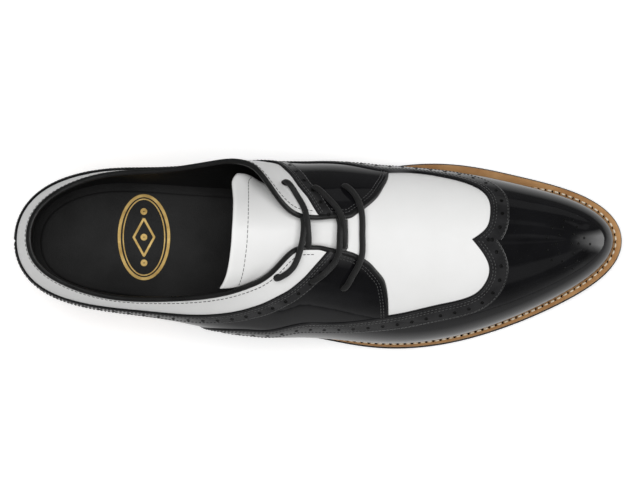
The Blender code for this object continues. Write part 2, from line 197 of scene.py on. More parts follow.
# From the sole's edge in to the feather line.
MARGIN = Table("x medial lateral", (0, 2.3, 2.3), (74, 2.5, 2.5), (132, 3.0, 3.2), (167, 3.9, 4.7), (202, 5.9, 5.2),
               (240, 6.2, 5.4), (304, 6.2, 6.2))
# Collar edge: distance in from the feather line, height, and lean of the wall there in degrees.
COLLAR = Table("x medial_in medial_z medial_lean lateral_in lateral_z lateral_lean",
               (0, 4.6, 89.0, 16, 4.6, 89.0, 16), (22, 2.5, 84.0, 12, 3.5, 84.0, 14),
               (47, -1.0, 78.0, 6, 2.0, 77.0, 12), (72, -4.0, 75.5, 3, 3.5, 73.0, 19),
               (97, -9.0, 77.0, 3, 9.0, 73.5, 30), (112, -9.6, 80.0, 6, 15.5, 76.5, 40),
               (124, -3.0, 82.5, 22, 23.5, 79.5, 50), (135, 7.5, 81.5, 42, 32.0, 80.0, 58),
               (150, 18.0, 75.0, 62, 40.0, 75.0, 68))
# Ridge of the last along the instep, vamp and toe.
RIDGE = Table("x y z", (100, 2.5, 101.0), (117, 2.5, 91.5), (132, 2.5, 83.0), (152, 2.4, 73.0), (174, 2.0, 63.2),
              (202, 0.8, 53.5), (230, -0.4, 46.8), (262, -0.6, 41.8), (287, -0.3, 38.2), (304, 0.0, 35.5))
# How far the wall leans out where it leaves the welt, in degrees.
WALL = Table("x medial lateral", (0, 22, 22), (42, 18, 20), (74, 23, 30), (102, 30, 37), (132, 35, 26), (164, 33, 17),
             (184, 23, 17), (204, 13, 18), (240, 9, 16), (304, 8, 8))
# Upper edge of the wing from its tail at the waist to the peak on the ridge.
WING = {
    Side.LATERAL: Table("x t", (84, 0.03), (88, 0.215), (91.5, 0.332), (96.5, 0.423), (104, 0.488), (113.8, 0.52),
                        (123.7, 0.52), (134.3, 0.493), (144.4, 0.474), (153.9, 0.472), (163.8, 0.481), (171.2, 0.488),
                        (183.3, 0.504), (196.3, 0.54), (209.2, 0.572), (226.9, 0.614), (232.8, 0.686), (235.3, 0.788),
                        (232.1, 0.9), (225.6, 1.0)),
    Side.MEDIAL: Table("x t", (84, 0.03), (92, 0.22), (112, 0.33), (138, 0.36), (160, 0.37), (183.3, 0.385),
                       (192.3, 0.338), (200.8, 0.318), (210.3, 0.338), (219.5, 0.378), (230, 0.466), (235.6, 0.608),
                       (236.1, 0.762), (233.3, 0.902), (225.6, 1.0)),
}
# Upper edge of the dark quarter under the pale collar, carried on past the throat.
QUARTER = {
    Side.LATERAL: Table("x t", (0, 0.5), (15, 0.53), (35, 0.61), (59.7, 0.69), (79.4, 0.69), (98.7, 0.75),
                        (109.2, 0.79), (121, 0.826), (127.2, 0.812), (133.4, 0.796), (138.7, 0.812), (143.5, 0.858),
                        (146.5, 0.902), (149.5, 0.948), (152.5, 0.996), (156, 1.055), (160, 1.125)),
    Side.MEDIAL: Table("x t", (0, 0.5), (15, 0.53), (35, 0.6), (55, 0.62), (72, 0.605), (90, 0.55), (106, 0.5),
                       (119, 0.475), (125.4, 0.475), (129, 0.512), (131.9, 0.585), (135.2, 0.65), (137.5, 0.71),
                       (140.2, 0.772), (143.2, 0.835), (145, 0.892), (146.8, 0.952), (148.6, 1.01), (151, 1.085),
                       (153, 1.15)),
}
# Edge of the facing: along the throat, round its corner and down the front to the wing.
FACING = {
    Side.LATERAL: Table("x t", (152.6, 0.997), (155.1, 0.992), (158.7, 0.982), (162.3, 0.962), (165.6, 0.936),
                        (169.1, 0.898), (172.7, 0.854), (175.9, 0.802), (179.2, 0.746), (180.6, 0.694),
                        (181.5, 0.636), (182.1, 0.572), (182.4, 0.504), (182.5, 0.44)),
    Side.MEDIAL: Table("x t", (148.8, 1.0), (153, 1.0), (157, 1.0), (161.4, 0.984), (165.9, 0.922), (169.4, 0.854),
                       (173, 0.78), (176.8, 0.692), (179.7, 0.598), (182.1, 0.51), (183.3, 0.422), (183.6, 0.33)),
}
# Tongue: half widths about the ridge, and depth of its outer face under the instep.
TONGUE = Table("x medial lateral drop", (103, 31.0, 33.0, 4.6), (107, 32.6, 32.8, 4.6), (113, 33.2, 31.8, 4.6),
               (121, 30.5, 28.4, 4.5), (132, 22.5, 21.0, 4.3), (150, 14.5, 14.5, 4.1), (165, 12.5, 12.5, 3.9),
               (176, 11.5, 11.5, 2.6), (184, 11.0, 11.0, 2.4))
# Edges of the sole's plates from the lower face round to the upper: inset from the plate's outline, and share of its
# thickness.
WELT_RIM = Table("inset share", (0.6, 0.0), (0.15, 0.05), (0.0, 0.18), (0.0, 0.42), (0.25, 0.5), (0.0, 0.58),
                 (0.0, 0.8), (0.18, 0.95), (0.7, 1.0), (2.4, 1.0), (9.0, 1.0))
OUTSOLE_RIM = Table("inset share", (0.9, 0.0), (0.3, 0.06), (0.0, 0.3), (0.0, 0.75), (0.15, 0.94), (0.6, 1.0),
                    (4.0, 1.0))
HEEL_RIM = Table("inset share", (1.7, 0.0), (1.2, 0.03), (0.7, 0.5), (0.4, 0.97), (0.8, 1.0))
LIFT_RIM = Table("inset share", (2.2, 0.0), (1.6, 0.06), (1.35, 0.2), (1.2, 0.9), (1.5, 1.0))
SOCK_RIM = Table("inset share", (0.3, 0.0), (0.0, 0.15), (0.0, 0.55), (0.4, 0.7), (4.6, 0.72), (5.0, 0.76), (5.2, 0.88),
                 (5.5, 0.97), (6.1, 1.0), (9.0, 0.99), (16.0, 0.95))
# Small holes punched in the toe: forward of the figure's middle, and out to each side of its axis.
MEDALLION = Table("forward out", (1.0, 12.3), (-3.4, 12.1), (3.0, 8.6), (-4.5, 8.7), (1.0, 4.8), (6.5, 3.0),
                  (-6.5, 4.6), (-10.0, 8.2), (-12.5, 3.2))
MEDALLION_AXIS = Table("forward", (0.0,), (3.6,), (9.6,), (-8.0,))


@dataclass
class Last:
    """Shape of the shoe: the sole's outline, the feather line and the ribs of the upper."""

    length: float = 304.0
    heel_radius: float = 33.0
    toe_radius: float = 19.5
    sole_stack: float = 8.1
    heel_rise: float = 22.5
    toe_spring: float = 10.5
    seat_front: float = 56.0
    tread_back: float = 178.0
    tread_front: float = 214.0
    fullness: float = 0.56
    ridge_clear: float = 0.97
    quarter_pull: float = 0.38
    toe_fan_from: float = 212.0
    toe_setback: float = 32.0
    collar_front: float = 114.0
    throat_back: float = 148.0
    throat_half: float = 8.6
    throat_front: float = 150.0
    throat_taper: float = 40.0
    wall: float = 2.0
    turns: int = 3001
    halvings: int = 30
    plan_step: float = 1e-4
    slope_step: float = 2e-3
    shift: Array = field(init=False)
    throat: dict[Side, tuple[Array, Array]] = field(init=False)

    def __post_init__(self) -> None:
        """Finds the frame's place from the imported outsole, and how much of each rib is leather."""
        low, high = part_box("outsole")
        phi = np.linspace(0, np.pi, self.turns)
        widest = [side.value * np.abs(self.edge(phi, side)[:, 1]).max() for side in Side]
        self.shift = np.array([low.x / MM, (low.y + high.y) / 2 / MM - sum(widest) / 2, low.z / MM])
        gap = self.throat_half * (1 - ease((self.station(phi) - self.throat_front) / self.throat_taper))
        self.throat = {side: (phi, self.share_at(phi, side, gap)) for side in Side}

    def framed(self, points: Array) -> Array:
        """Points of the sole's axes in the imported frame, in metres."""
        return (points + self.shift) * MM

    def station(self, phi: Array) -> Array:
        """Distance from the heel end at turn phi: half the length times one less its cosine."""
        return self.length * (1 - np.cos(phi)) / 2

    def turn(self, x: Any) -> Array:
        """Turn round the sole at a distance from the heel end."""
        return np.arccos(np.clip(1 - 2 * np.asarray(x, float) / self.length, -1, 1))

    def edge(self, phi: Array, side: Side) -> Array:
        """Plan points of the sole's edge.

        Args:
            phi: turns round the sole.
            side: side of the shoe.

        Returns:
            Station, and the sine of the turn times a splined width; the ends close as arcs of the end radii.
        """
        share = OUTLINE["x"] / self.length
        inner = OUTLINE[side.word] / (2 * np.sqrt(share * (1 - share)))
        ends = np.sqrt(np.array([self.heel_radius, self.toe_radius]) * self.length / 2)
        knots = np.concatenate([[0], self.turn(OUTLINE["x"]), [np.pi]])
        width = spline(phi, knots, np.concatenate([ends[:1], inner, ends[1:]]))
        return np.stack([self.station(phi), side.value * np.sin(phi) * width], -1)

    def outward(self, phi: Array, side: Side) -> Array:
        """Plan direction square to the sole's edge, pointing out of the shoe."""
        along = self.edge(phi + self.plan_step, side) - self.edge(phi - self.plan_step, side)
        return unit(side.value * np.stack([-along[..., 1], along[..., 0]], -1))

    def inset(self, phi: Array, side: Side, distance: Any) -> Array:
        """Plan points a distance inside the sole's edge."""
        return self.edge(phi, side) - np.asarray(distance)[..., None] * self.outward(phi, side)

    def margin(self, phi: Array, side: Side) -> Array:
        """Width of welt outside the feather line."""
        return MARGIN.at(side.word, self.station(phi))

    def seat(self, x: Array) -> Array:
        """Height of the feather line.

        Args:
            x: stations.

        Returns:
            Heights: level over the tread, eased up to the heel, a parabola up to the toe.
        """
        waist = ease((self.tread_back - x) / (self.tread_back - self.seat_front))
        toe = np.clip((x - self.tread_front) / (self.length - self.tread_front), 0, None)
        return self.sole_stack + self.heel_rise * waist + self.toe_spring * toe**2

    def foot(self, phi: Array, side: Side) -> Array:
        """Feather line, where the upper stands on the welt."""
        plan = self.inset(phi, side, self.margin(phi, side))
        return np.concatenate([plan, self.seat(plan[..., :1])], -1)

    def leaving(self, phi: Array, side: Side) -> Array:
        """Direction in which a rib leaves the welt: up, and out by the wall's flare."""
        out = np.concatenate([self.outward(phi, side), np.zeros(phi.shape + (1,))], -1)
        return UP + np.tan(np.radians(WALL.at(side.word, self.station(phi))))[..., None] * out

    @staticmethod
    def bezier(points: tuple[Array, Array, Array, Array], t: Array) -> Array:
        """Cubic curves, each the Bernstein sum of four control points.

        Args:
            points: the control points, one set per rib.
            t: shares of the way along the curves.

        Returns:
            Points of the curves.
        """
        t = t[..., None]
        first, second, third, last = points
        return (1 - t)**3 * first + 3 * (1 - t)**2 * t * second + 3 * (1 - t) * t**2 * third + t**3 * last

    def instep_rib(self, phi: Array, side: Side) -> tuple[Array, Array, Array, Array]:
        """Control points of a rib that runs from the feather line over to the ridge of the last.

        Args:
            phi: turns round the sole.
            side: side of the shoe.

        Returns:
            Foot, a point up the wall's flare, a shoulder level with the ridge, and the end on the ridge.
        """
        x = self.station(phi)
        foot = self.foot(phi, side)
        fan = np.clip((x - self.toe_fan_from) / (self.length - self.toe_fan_from), 0, 1)
        top_x = x - self.toe_setback * fan**2
        top = np.stack([top_x, RIDGE.at("y", top_x), RIDGE.at("z", top_x)], -1)
        rise = (top - foot)[..., 2:]
        shoulder = top + self.fullness * (foot - top)
        shoulder[..., 2] = RIDGE.at("z", shoulder[..., 0])
        return foot, foot + self.fullness * rise * self.leaving(phi, side), shoulder, top

    def quarter_rib(self, phi: Array, side: Side) -> tuple[Array, Array, Array, Array]:
        """Control points of a rib that runs from the feather line up to the collar.

        Args:
            phi: turns round the sole.
            side: side of the shoe.

        Returns:
            Foot, a point up the wall's flare, a point down the collar's lean, and the end on the collar.
        """
        x = self.station(phi)
        foot = self.foot(phi, side)
        out = np.concatenate([self.outward(phi, side), np.zeros(x.shape + (1,))], -1)
        lean = np.tan(np.radians(COLLAR.at(side.word + "_lean", x)))[..., None]
        plan = self.inset(phi, side, self.margin(phi, side) + COLLAR.at(side.word + "_in", x))
        collar = np.concatenate([plan, COLLAR.at(side.word + "_z", x)[..., None]], -1)
        pull = self.quarter_pull * (collar - foot)[..., 2:]
        return foot, foot + pull * self.leaving(phi, side), collar - pull * (UP - lean * out), collar

    def share_at(self, phi: Array, side: Side, gap: Array) -> Array:
        """Share of an instep rib at which it comes within a plan distance of the ridge, found by halving.

        Args:
            phi: turns round the sole.
            side: side of the shoe.
            gap: plan distances from the ridge.

        Returns:
            The shares, 1 where there is no gap.
        """
        rib = self.instep_rib(phi, side)
        low, high = np.zeros_like(phi), np.ones_like(phi)
        for _ in range(self.halvings):
            mid = (low + high) / 2
            away = np.linalg.norm((self.bezier(rib, mid) - rib[3])[..., :2], axis=-1)
            low, high = np.where(away > gap, mid, low), np.where(away > gap, high, mid)
        return np.where(gap > 0, high, 1.0)

    def skin(self, phi: Array, t: Array, side: Side) -> Array:
        """Outer face of the upper.

        Args:
            phi: turns round the sole.
            t: shares of the way up the ribs.
            side: side of the shoe.

        Returns:
            Points of the quarter ribs behind, eased into the instep ribs in front of the collar.
        """
        phi, t = np.broadcast_arrays(np.asarray(phi, float), np.asarray(t, float))
        front = ease((self.station(phi) - self.collar_front) / (self.throat_back - self.collar_front))[..., None]
        over = self.bezier(self.instep_rib(phi, side), t * np.interp(phi, *self.throat[side]))
        return (1 - front) * self.bezier(self.quarter_rib(phi, side), t) + front * over

    def instep(self, phi: Array, t: Array, side: Side) -> Array:
        """Skin carried on over the throat to the ridge, as the tongue and the laces follow it."""
        phi, t = np.broadcast_arrays(np.asarray(phi, float), np.asarray(t, float))
        return self.bezier(self.instep_rib(phi, side), t)

    def normal(self, shape: Callable[[Array, Array, Side], Array], phi: Array, t: Array, side: Side) -> Array:
        """Unit directions out of a face: the cross product of its slopes up and along.

        Args:
            shape: the face, as a function of turn, share and side.
            phi: turns round the sole.
            t: shares of the way up the ribs.
            side: side of the shoe.

        Returns:
            The directions.
        """
        phi, t = np.broadcast_arrays(np.asarray(phi, float), np.asarray(t, float))
        d = self.slope_step
        low = np.minimum(t, self.ridge_clear)
        along = shape(np.clip(phi + d, 0, np.pi), low, side) - shape(np.clip(phi - d, 0, np.pi), low, side)
        up = shape(phi, t + d, side) - shape(phi, t - d, side)
        return unit(side.value * np.cross(up, along))

    def lifted(self, phi: Array, t: Array, side: Side, lift: Any) -> Array:
        """Points a distance lift off the skin, measured square to it."""
        lift = np.asarray(lift, float)[..., None]
        return self.skin(phi, t, side) + lift * self.normal(self.skin, phi, t, side)

    def over_instep(self, x: Array, y: Array, lift: Array) -> tuple[Array, Array]:
        """Points over the instep by station and offset.

        Args:
            x: stations.
            y: offsets from the shoe's axis.
            lift: heights over the instep, measured square to it.

        Returns:
            The points and the directions out of the instep there.
        """
        phi, away = self.turn(x), y - RIDGE.at("y", x)
        found = {}
        for side in Side:
            share = self.share_at(phi, side, np.abs(away))
            out = self.normal(self.instep, phi, share, side)
            found[side] = self.instep(phi, share, side), out
        medial = (away > 0)[:, None]
        base, out = (np.where(medial, a, b) for a, b in zip(found[Side.MEDIAL], found[Side.LATERAL]))
        return base + lift[:, None] * out, out


@dataclass
class Seam:
    """Line drawn on the skin of one side, as matching runs of turn and share."""

    last: Last
    side: Side
    phi: Array
    t: Array
    stride: float = 0.7

    @classmethod
    def through(cls, last: Last, side: Side, rows: Table, count: int = 1200) -> "Seam":
        """Smooth line through the rows of a table, on splines of its own length.

        Args:
            last: shape that the line lies on.
            side: side of the shoe.
            rows: table of stations and shares.
            count: points of the line.

        Returns:
            The line.
        """
        phi = last.turn(rows["x"])
        run = np.concatenate([[0], np.cumsum(np.hypot(np.diff(phi), np.diff(rows["t"])))])
        at = np.linspace(0, run[-1], count)
        return cls(last, side, spline(at, run, phi), spline(at, run, rows["t"]))

    def points(self, lift: Any = 0.0) -> Array:
        """Points of the line, lifted off the skin."""
        return self.last.lifted(self.phi, self.t, self.side, np.broadcast_to(lift, self.phi.shape))

    def normals(self) -> Array:
        """Directions out of the skin along the line."""
        return self.last.normal(self.last.skin, self.phi, self.t, self.side)

    def part(self, keep: NDArray[np.bool_]) -> "Seam":
        """The points of the line that are kept."""
        return Seam(self.last, self.side, self.phi[keep], self.t[keep])

    def between(self, back: float, front: float) -> "Seam":
        """The part of the line between two stations."""
        x = self.last.station(self.phi)
        return self.part((x >= back) & (x <= front))

    def evenly(self, count: int) -> "Seam":
        """The line with points at even lengths.

        Args:
            count: points of the new line.

        Returns:
            The line, straight between its old points.
        """
        run = run_of(self.last.skin(self.phi, self.t, self.side))
        at = np.linspace(0, run[-1], count)
        return Seam(self.last, self.side, np.interp(at, run, self.phi), np.interp(at, run, self.t))

    def stopped(self) -> "Seam":
        """The line with all that lies past the ridge or the rim drawn back to where it crosses.

        Returns:
            The line with as many points as before, the last of them in one place where it crosses.
        """
        over = np.flatnonzero(self.t > 1)
        end = over[0] if len(over) else len(self.t)
        phi = self.phi.copy()
        if 0 < end < len(phi):
            phi[end:] = np.interp(1, self.t[end - 1:end + 1], phi[end - 1:end + 1])
        return Seam(self.last, self.side, phi, np.clip(self.t, 0, 1) if end == len(phi) else
                    np.where(np.arange(len(phi)) < end, np.clip(self.t, 0, 1), 1.0))

    def beside(self, distance: float) -> "Seam":
        """Parallel line on the skin.

        Args:
            distance: how far down or forward into the panel the line moves.

        Returns:
            The line after short steps, each along the skin and square to the line as it then runs.
        """
        steps = max(1, math.ceil(abs(distance) / self.stride))
        phi, t, side = self.phi.copy(), self.t.copy(), self.side
        d = 1e-3
        for _ in range(steps):
            low = np.minimum(t, self.last.ridge_clear)
            by_phi = (self.last.skin(np.minimum(phi + d, np.pi), low, side)
                      - self.last.skin(np.maximum(phi - d, 0), low, side))
            by_phi /= (np.minimum(phi + d, np.pi) - np.maximum(phi - d, 0))[:, None]
            by_t = (self.last.skin(phi, t + d, side) - self.last.skin(phi, t - d, side)) / (2 * d)
            along = by_phi * np.gradient(phi)[:, None] + by_t * np.gradient(t)[:, None]
            out = side.value * np.cross(by_t, by_phi)
            across = unit(side.value * np.cross(out, along))
            a, b, c = (np.sum(p * q, -1) for p, q in ((by_phi, by_phi), (by_phi, by_t), (by_t, by_t)))
            e, f = np.sum(by_phi * across, -1), np.sum(by_t * across, -1)
            det = np.maximum(a * c - b * b, 1e-9)
            phi = np.clip(phi + distance / steps * (c * e - b * f) / det, 0, np.pi)
            t = t + distance / steps * (a * f - b * e) / det
        return Seam(self.last, side, phi, t)


class Piece:
    """One piece of the shoe under construction: blocks of points gathered into a single mesh."""

    def __init__(self, name: str, last: Last) -> None:
        """Starts an empty piece.

        Args:
            name: plain name of the piece.
            last: shape that gives the piece its place in the frame.
        """
        self.name = name
        self.last = last
        self.blocks: list[Array] = []
        self.maps: list[Array] = []
        self.faces: list[Index] = []
        self.total = 0

    def place(self, points: Array, uv: Array | None = None) -> Index:
        """Takes in a block of points.

        Args:
            points: the block, any shape ending in x, y, z.
            uv: pattern coordinates in millimetres, of the same shape ending in u, v.

        Returns:
            Vertex numbers in the block's own shape.
        """
        shape = points.shape[:-1]
        numbers = self.total + np.arange(math.prod(shape)).reshape(shape)
        self.blocks.append(points.reshape(-1, 3))
        self.maps.append((np.zeros(shape + (2,)) if uv is None else uv).reshape(-1, 2))
        self.total += numbers.size
        return numbers

    def weave(self, numbers: Index, keep: Any = True) -> None:
        """Quads between neighbouring rows and columns of vertex numbers, where the column is kept."""
        quads = np.stack([numbers[:-1, :-1], numbers[1:, :-1], numbers[1:, 1:], numbers[:-1, 1:]], -1)
        self.faces.append(quads[:, np.broadcast_to(keep, quads.shape[1])].reshape(-1, 4))

    def sheet(self, top: Array, bottom: Array, first: Any = True, last: Any = True, ends: bool = True) -> None:
        """Closed sheet between two grids of the same shape.

        Args:
            top: outer grid, rows by columns.
            bottom: inner grid.
            first: which columns get a wall along the first row.
            last: which columns get a wall along the last row.
            ends: whether the first and last columns are walled.
        """
        over, under = self.place(top), self.place(bottom)
        self.weave(over)
        self.weave(under[::-1])
        self.weave(np.stack([under[0], over[0]]), first)
        self.weave(np.stack([over[-1], under[-1]]), last)
        if ends:
            self.weave(np.stack([over[:, 0], under[:, 0]]))
            self.weave(np.stack([under[:, -1], over[:, -1]]))

    def rings(self, points: Array, uv: Array | None = None) -> None:
        """Tubes: rings of points, each closed on itself and joined to the next.

        Args:
            points: blocks by tube, ring and side, ending in x, y, z.
            uv: pattern coordinates in millimetres, of the same shape ending in u, v.
        """
        numbers = self.place(points, uv)
        near, far = numbers[:, :-1], numbers[:, 1:]
        quads = np.stack([near, np.roll(near, -1, 2), np.roll(far, -1, 2), far], -1)
        self.faces.append(quads.reshape(-1, 4))

    def build(self, finish: "Finish", slot: str, *nodes: str, weld: float = 0.012) -> bpy.types.Object:
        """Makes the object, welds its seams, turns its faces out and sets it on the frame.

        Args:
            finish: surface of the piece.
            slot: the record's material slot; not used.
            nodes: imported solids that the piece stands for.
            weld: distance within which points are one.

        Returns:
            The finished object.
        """
        data = bpy.data.meshes.new(self.name)
        data.from_pydata(self.last.framed(np.concatenate(self.blocks)).tolist(), [],
                         np.concatenate(self.faces).tolist())
        corners = np.empty(len(data.loops), np.int32)
        data.loops.foreach_get("vertex_index", corners)
        data.uv_layers.new(name="pattern").data.foreach_set("uv", np.concatenate(self.maps)[corners].ravel())
        mesh = bmesh.new()
        mesh.from_mesh(data)
        bmesh.ops.remove_doubles(mesh, verts=mesh.verts, dist=weld * MM)
        bmesh.ops.recalc_face_normals(mesh, faces=mesh.faces)
        mesh.to_mesh(data)
        mesh.free()
        data.shade_smooth()
        data.set_sharp_from_angle(angle=CREASE)
        data.materials.append(finish.material())
        piece = bpy.data.objects.new(self.name, data)
        bpy.context.scene.collection.objects.link(piece)
        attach(piece, "root")
        if nodes:
            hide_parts(*nodes)
        LOG.info("%s: %d faces", self.name, len(data.polygons))
        return piece


class Graph:
    """Shader nodes of one tree, added and joined by name."""

    def __init__(self, tree: bpy.types.NodeTree) -> None:
        """Takes the tree to fill."""
        self.tree = tree

    def add(self, kind: str, inputs: dict[Any, Any] | None = None, **settings: Any) -> bpy.types.Node:
        """Adds a node.

        Args:
            kind: the node's type.
            inputs: socket names or numbers with a value, or with the socket that feeds them.
            settings: plain properties of the node.

        Returns:
            The node.
        """
        node = self.tree.nodes.new(kind)
        for name, value in settings.items():
            setattr(node, name, value)
        for key, value in (inputs or {}).items():
            if isinstance(value, bpy.types.NodeSocket):
                self.tree.links.new(value, node.inputs[key])
            else:
                node.inputs[key].default_value = value
        return node

    def maths(self, operation: str, *values: Any) -> bpy.types.NodeSocket:
        """Result of one sum on numbers or sockets."""
        return self.add("ShaderNodeMath", dict(enumerate(values)), operation=operation).outputs[0]

    def ranged(self, value: Any, low: float, high: float, to_low: float = 0.0, to_high: float = 1.0) -> Any:
        """A value moved from one range to another and held inside it."""
        return self.add("ShaderNodeMapRange", {0: value, 1: low, 2: high, 3: to_low, 4: to_high}).outputs[0]


class Effects:
    """Shared shader groups, each built the first time that a finish asks for it."""

    @staticmethod
    def group(name: str, inputs: dict[str, str], outputs: list[str]) -> tuple[Any, Graph, Any, Any]:
        """Empty group with its sockets.

        Args:
            name: name of the group.
            inputs: socket names and their kinds.
            outputs: names of the values it puts out.

        Returns:
            The tree, its graph, the node of its inputs and the node of its outputs.
        """
        tree = bpy.data.node_groups.new(name, "ShaderNodeTree")
        for label, kind in inputs.items():
            tree.interface.new_socket(label, in_out="INPUT", socket_type=kind)
        for label in outputs:
            tree.interface.new_socket(label, in_out="OUTPUT", socket_type="NodeSocketFloat")
        graph = Graph(tree)
        return tree, graph, graph.add("NodeGroupInput"), graph.add("NodeGroupOutput")

    @classmethod
    @cache
    def drift(cls) -> bpy.types.NodeTree:
        """Slow cloudy change of tone: fractal noise stretched to the full range.

        Returns:
            The group, which puts out a mask.
        """
        tree, graph, given, out = cls.group(
            "tone_drift", {"Vector": "NodeSocketVector", "Scale": "NodeSocketFloat"}, ["Mask"])
        noise = graph.add("ShaderNodeTexNoise", {"Vector": given.outputs["Vector"], "Scale": given.outputs["Scale"],
                                                 "Detail": 5.0, "Roughness": 0.55})
        tree.links.new(graph.ranged(noise.outputs["Fac"], 0.3, 0.7), out.inputs["Mask"])
        return tree

    @classmethod
    @cache
    def grain(cls) -> bpy.types.NodeTree:
        """Grain of leather: pebbles between the edges of warped cells, with fine pores over them.

        Returns:
            The group, which puts out a height.
        """
        tree, graph, given, out = cls.group(
            "leather_grain", {"Vector": "NodeSocketVector", "Scale": "NodeSocketFloat"}, ["Height"])
        vector, scale = given.outputs["Vector"], given.outputs["Scale"]
        warp = graph.add("ShaderNodeTexNoise", {"Vector": vector, "Scale": graph.maths("MULTIPLY", scale, 0.6)})
        sway = graph.add("ShaderNodeVectorMath", {0: warp.outputs["Color"], "Scale": 0.0006}, operation="SCALE")
        moved = graph.add("ShaderNodeVectorMath", {0: vector, 1: sway.outputs[0]}, operation="ADD")
        cells = graph.add("ShaderNodeTexVoronoi", {"Vector": moved.outputs[0], "Scale": scale},
                          feature="DISTANCE_TO_EDGE")
        pores = graph.add("ShaderNodeTexNoise", {"Vector": vector, "Scale": graph.maths("MULTIPLY", scale, 3.1),
                                                 "Detail": 3.0})
        pebble = graph.ranged(cells.outputs["Distance"], 0.0, 0.22)
        tree.links.new(graph.maths("MULTIPLY_ADD", pores.outputs["Fac"], 0.35, pebble), out.inputs["Height"])
        return tree

    @classmethod
    @cache
    def thread(cls) -> bpy.types.NodeTree:
        """Strands of thread on the pattern map: slanted waves for a twist, crossed ones for a braid.

        Returns:
            The group, which puts out a height for each lay.
        """
        tree, graph, given, out = cls.group(
            "thread_lay", {"Vector": "NodeSocketVector", "Along": "NodeSocketFloat", "Around": "NodeSocketFloat"},
            ["Twist", "Braid"])
        place = graph.add("ShaderNodeSeparateXYZ", {0: given.outputs["Vector"]})
        along = graph.maths("MULTIPLY", place.outputs[0], given.outputs["Along"])
        around = graph.maths("MULTIPLY", place.outputs[1], given.outputs["Around"])
        waves = [graph.maths("SINE", graph.maths("MULTIPLY", graph.maths(sign, along, around), math.tau))
                 for sign in ("ADD", "SUBTRACT")]
        tree.links.new(graph.ranged(waves[0], -1.0, 1.0), out.inputs["Twist"])
        tree.links.new(graph.ranged(graph.maths("MAXIMUM", *waves), -1.0, 1.0), out.inputs["Braid"])
        return tree

    @classmethod
    @cache
    def layers(cls) -> bpy.types.NodeTree:
        """Level layers of stacked leather: a random tone for each and a groove between them.

        Returns:
            The group, which puts out a tone and a height.
        """
        tree, graph, given, out = cls.group(
            "leather_layers", {"Vector": "NodeSocketVector", "Pitch": "NodeSocketFloat"}, ["Tone", "Height"])
        wander = graph.add("ShaderNodeTexNoise", {"Vector": given.outputs["Vector"], "Scale": 60.0})
        place = graph.add("ShaderNodeSeparateXYZ", {0: given.outputs["Vector"]})
        level = graph.maths("MULTIPLY_ADD", wander.outputs["Fac"], 0.0005, place.outputs[2])
        count = graph.maths("DIVIDE", level, given.outputs["Pitch"])
        tone = graph.add("ShaderNodeTexWhiteNoise", {"W": graph.maths("FLOOR", count)}, noise_dimensions="1D")
        groove = graph.maths("ABSOLUTE", graph.maths("SUBTRACT", graph.maths("FRACT", count), 0.5))
        tree.links.new(tone.outputs["Value"], out.inputs["Tone"])
        tree.links.new(graph.ranged(groove, 0.5, 0.4), out.inputs["Height"])
        return tree


@dataclass(frozen=True)
class Finish:
    """Surface of one kind of piece: colours, gloss, and the marks of its making in millimetres."""

    name: str
    colour: Colour
    drift: Colour
    rough: tuple[float, float]
    pattern: Pattern = Pattern.GRAIN
    cell: float = 0.6
    depth: float = 0.03
    cloud: float = 14.0
    ripple: float = 0.0
    around: float = 1.0
    sheen: float = 0.0
    metal: float = 0.0
    specular: float = 0.5

    def height(self, graph: Graph, vector: Any) -> tuple[Any, Any]:
        """Relief of the pattern, and a tone of its own where it has one.

        Args:
            graph: nodes of the material.
            vector: coordinates that the pattern follows.

        Returns:
            Sockets of the height and of the tone, or none for the tone.
        """
        def shared(tree: bpy.types.NodeTree, inputs: dict[str, Any]) -> Any:
            """Outputs of a shared group placed in the material."""
            return graph.add("ShaderNodeGroup", {"Vector": vector, **inputs}, node_tree=tree).outputs

        if self.pattern in (Pattern.TWIST, Pattern.BRAID):
            lay = shared(Effects.thread(), {"Along": 1 / self.cell, "Around": self.around})
            return lay["Twist" if self.pattern is Pattern.TWIST else "Braid"], None
        if self.pattern is Pattern.LAYERS:
            stack = shared(Effects.layers(), {"Pitch": self.cell * MM})
            return stack["Height"], stack["Tone"]
        if self.pattern is Pattern.SPECKLE:
            return shared(Effects.drift(), {"Scale": 1 / (self.cell * MM)})["Mask"], None
        return shared(Effects.grain(), {"Scale": 1 / (self.cell * MM)})["Height"], None

    @cache
    def material(self) -> bpy.types.Material:
        """The finish as a material, made once.

        Returns:
            The material: two tones and a range of gloss mixed by the cloudy mask, and the pattern as relief.
        """
        made = bpy.data.materials.new(self.name)
        made.use_nodes = True
        graph = Graph(made.node_tree)
        shader = made.node_tree.nodes["Principled BSDF"]
        where = graph.add("ShaderNodeTexCoord")
        mapped = self.pattern in (Pattern.TWIST, Pattern.BRAID)
        height, tone = self.height(graph, where.outputs["UV" if mapped else "Object"])
        cloud = graph.add("ShaderNodeGroup", {"Vector": where.outputs["Object"], "Scale": 1 / (self.cloud * MM)},
                          node_tree=Effects.drift())
        mask = cloud.outputs["Mask"]
        shade = tone if tone is not None else mask
        tint = graph.add("ShaderNodeMix", {0: shade, 6: (*self.colour, 1.0), 7: (*self.drift, 1.0)}, data_type="RGBA")
        graph.tree.links.new(tint.outputs[2], shader.inputs["Base Color"])
        graph.tree.links.new(graph.ranged(mask, 0.0, 1.0, *self.rough), shader.inputs["Roughness"])
        bump = graph.add("ShaderNodeBump", {"Height": height, "Distance": self.depth * MM, "Strength": 1.0})
        if self.ripple:
            wave = graph.add("ShaderNodeBump", {"Height": mask, "Distance": self.ripple * MM, "Strength": 1.0})
            graph.tree.links.new(wave.outputs["Normal"], bump.inputs["Normal"])
        graph.tree.links.new(bump.outputs["Normal"], shader.inputs["Normal"])
        for socket, value in (("Sheen Weight", self.sheen), ("Metallic", self.metal),
                              ("Specular IOR Level", self.specular)):
            shader.inputs[socket].default_value = value
        return made


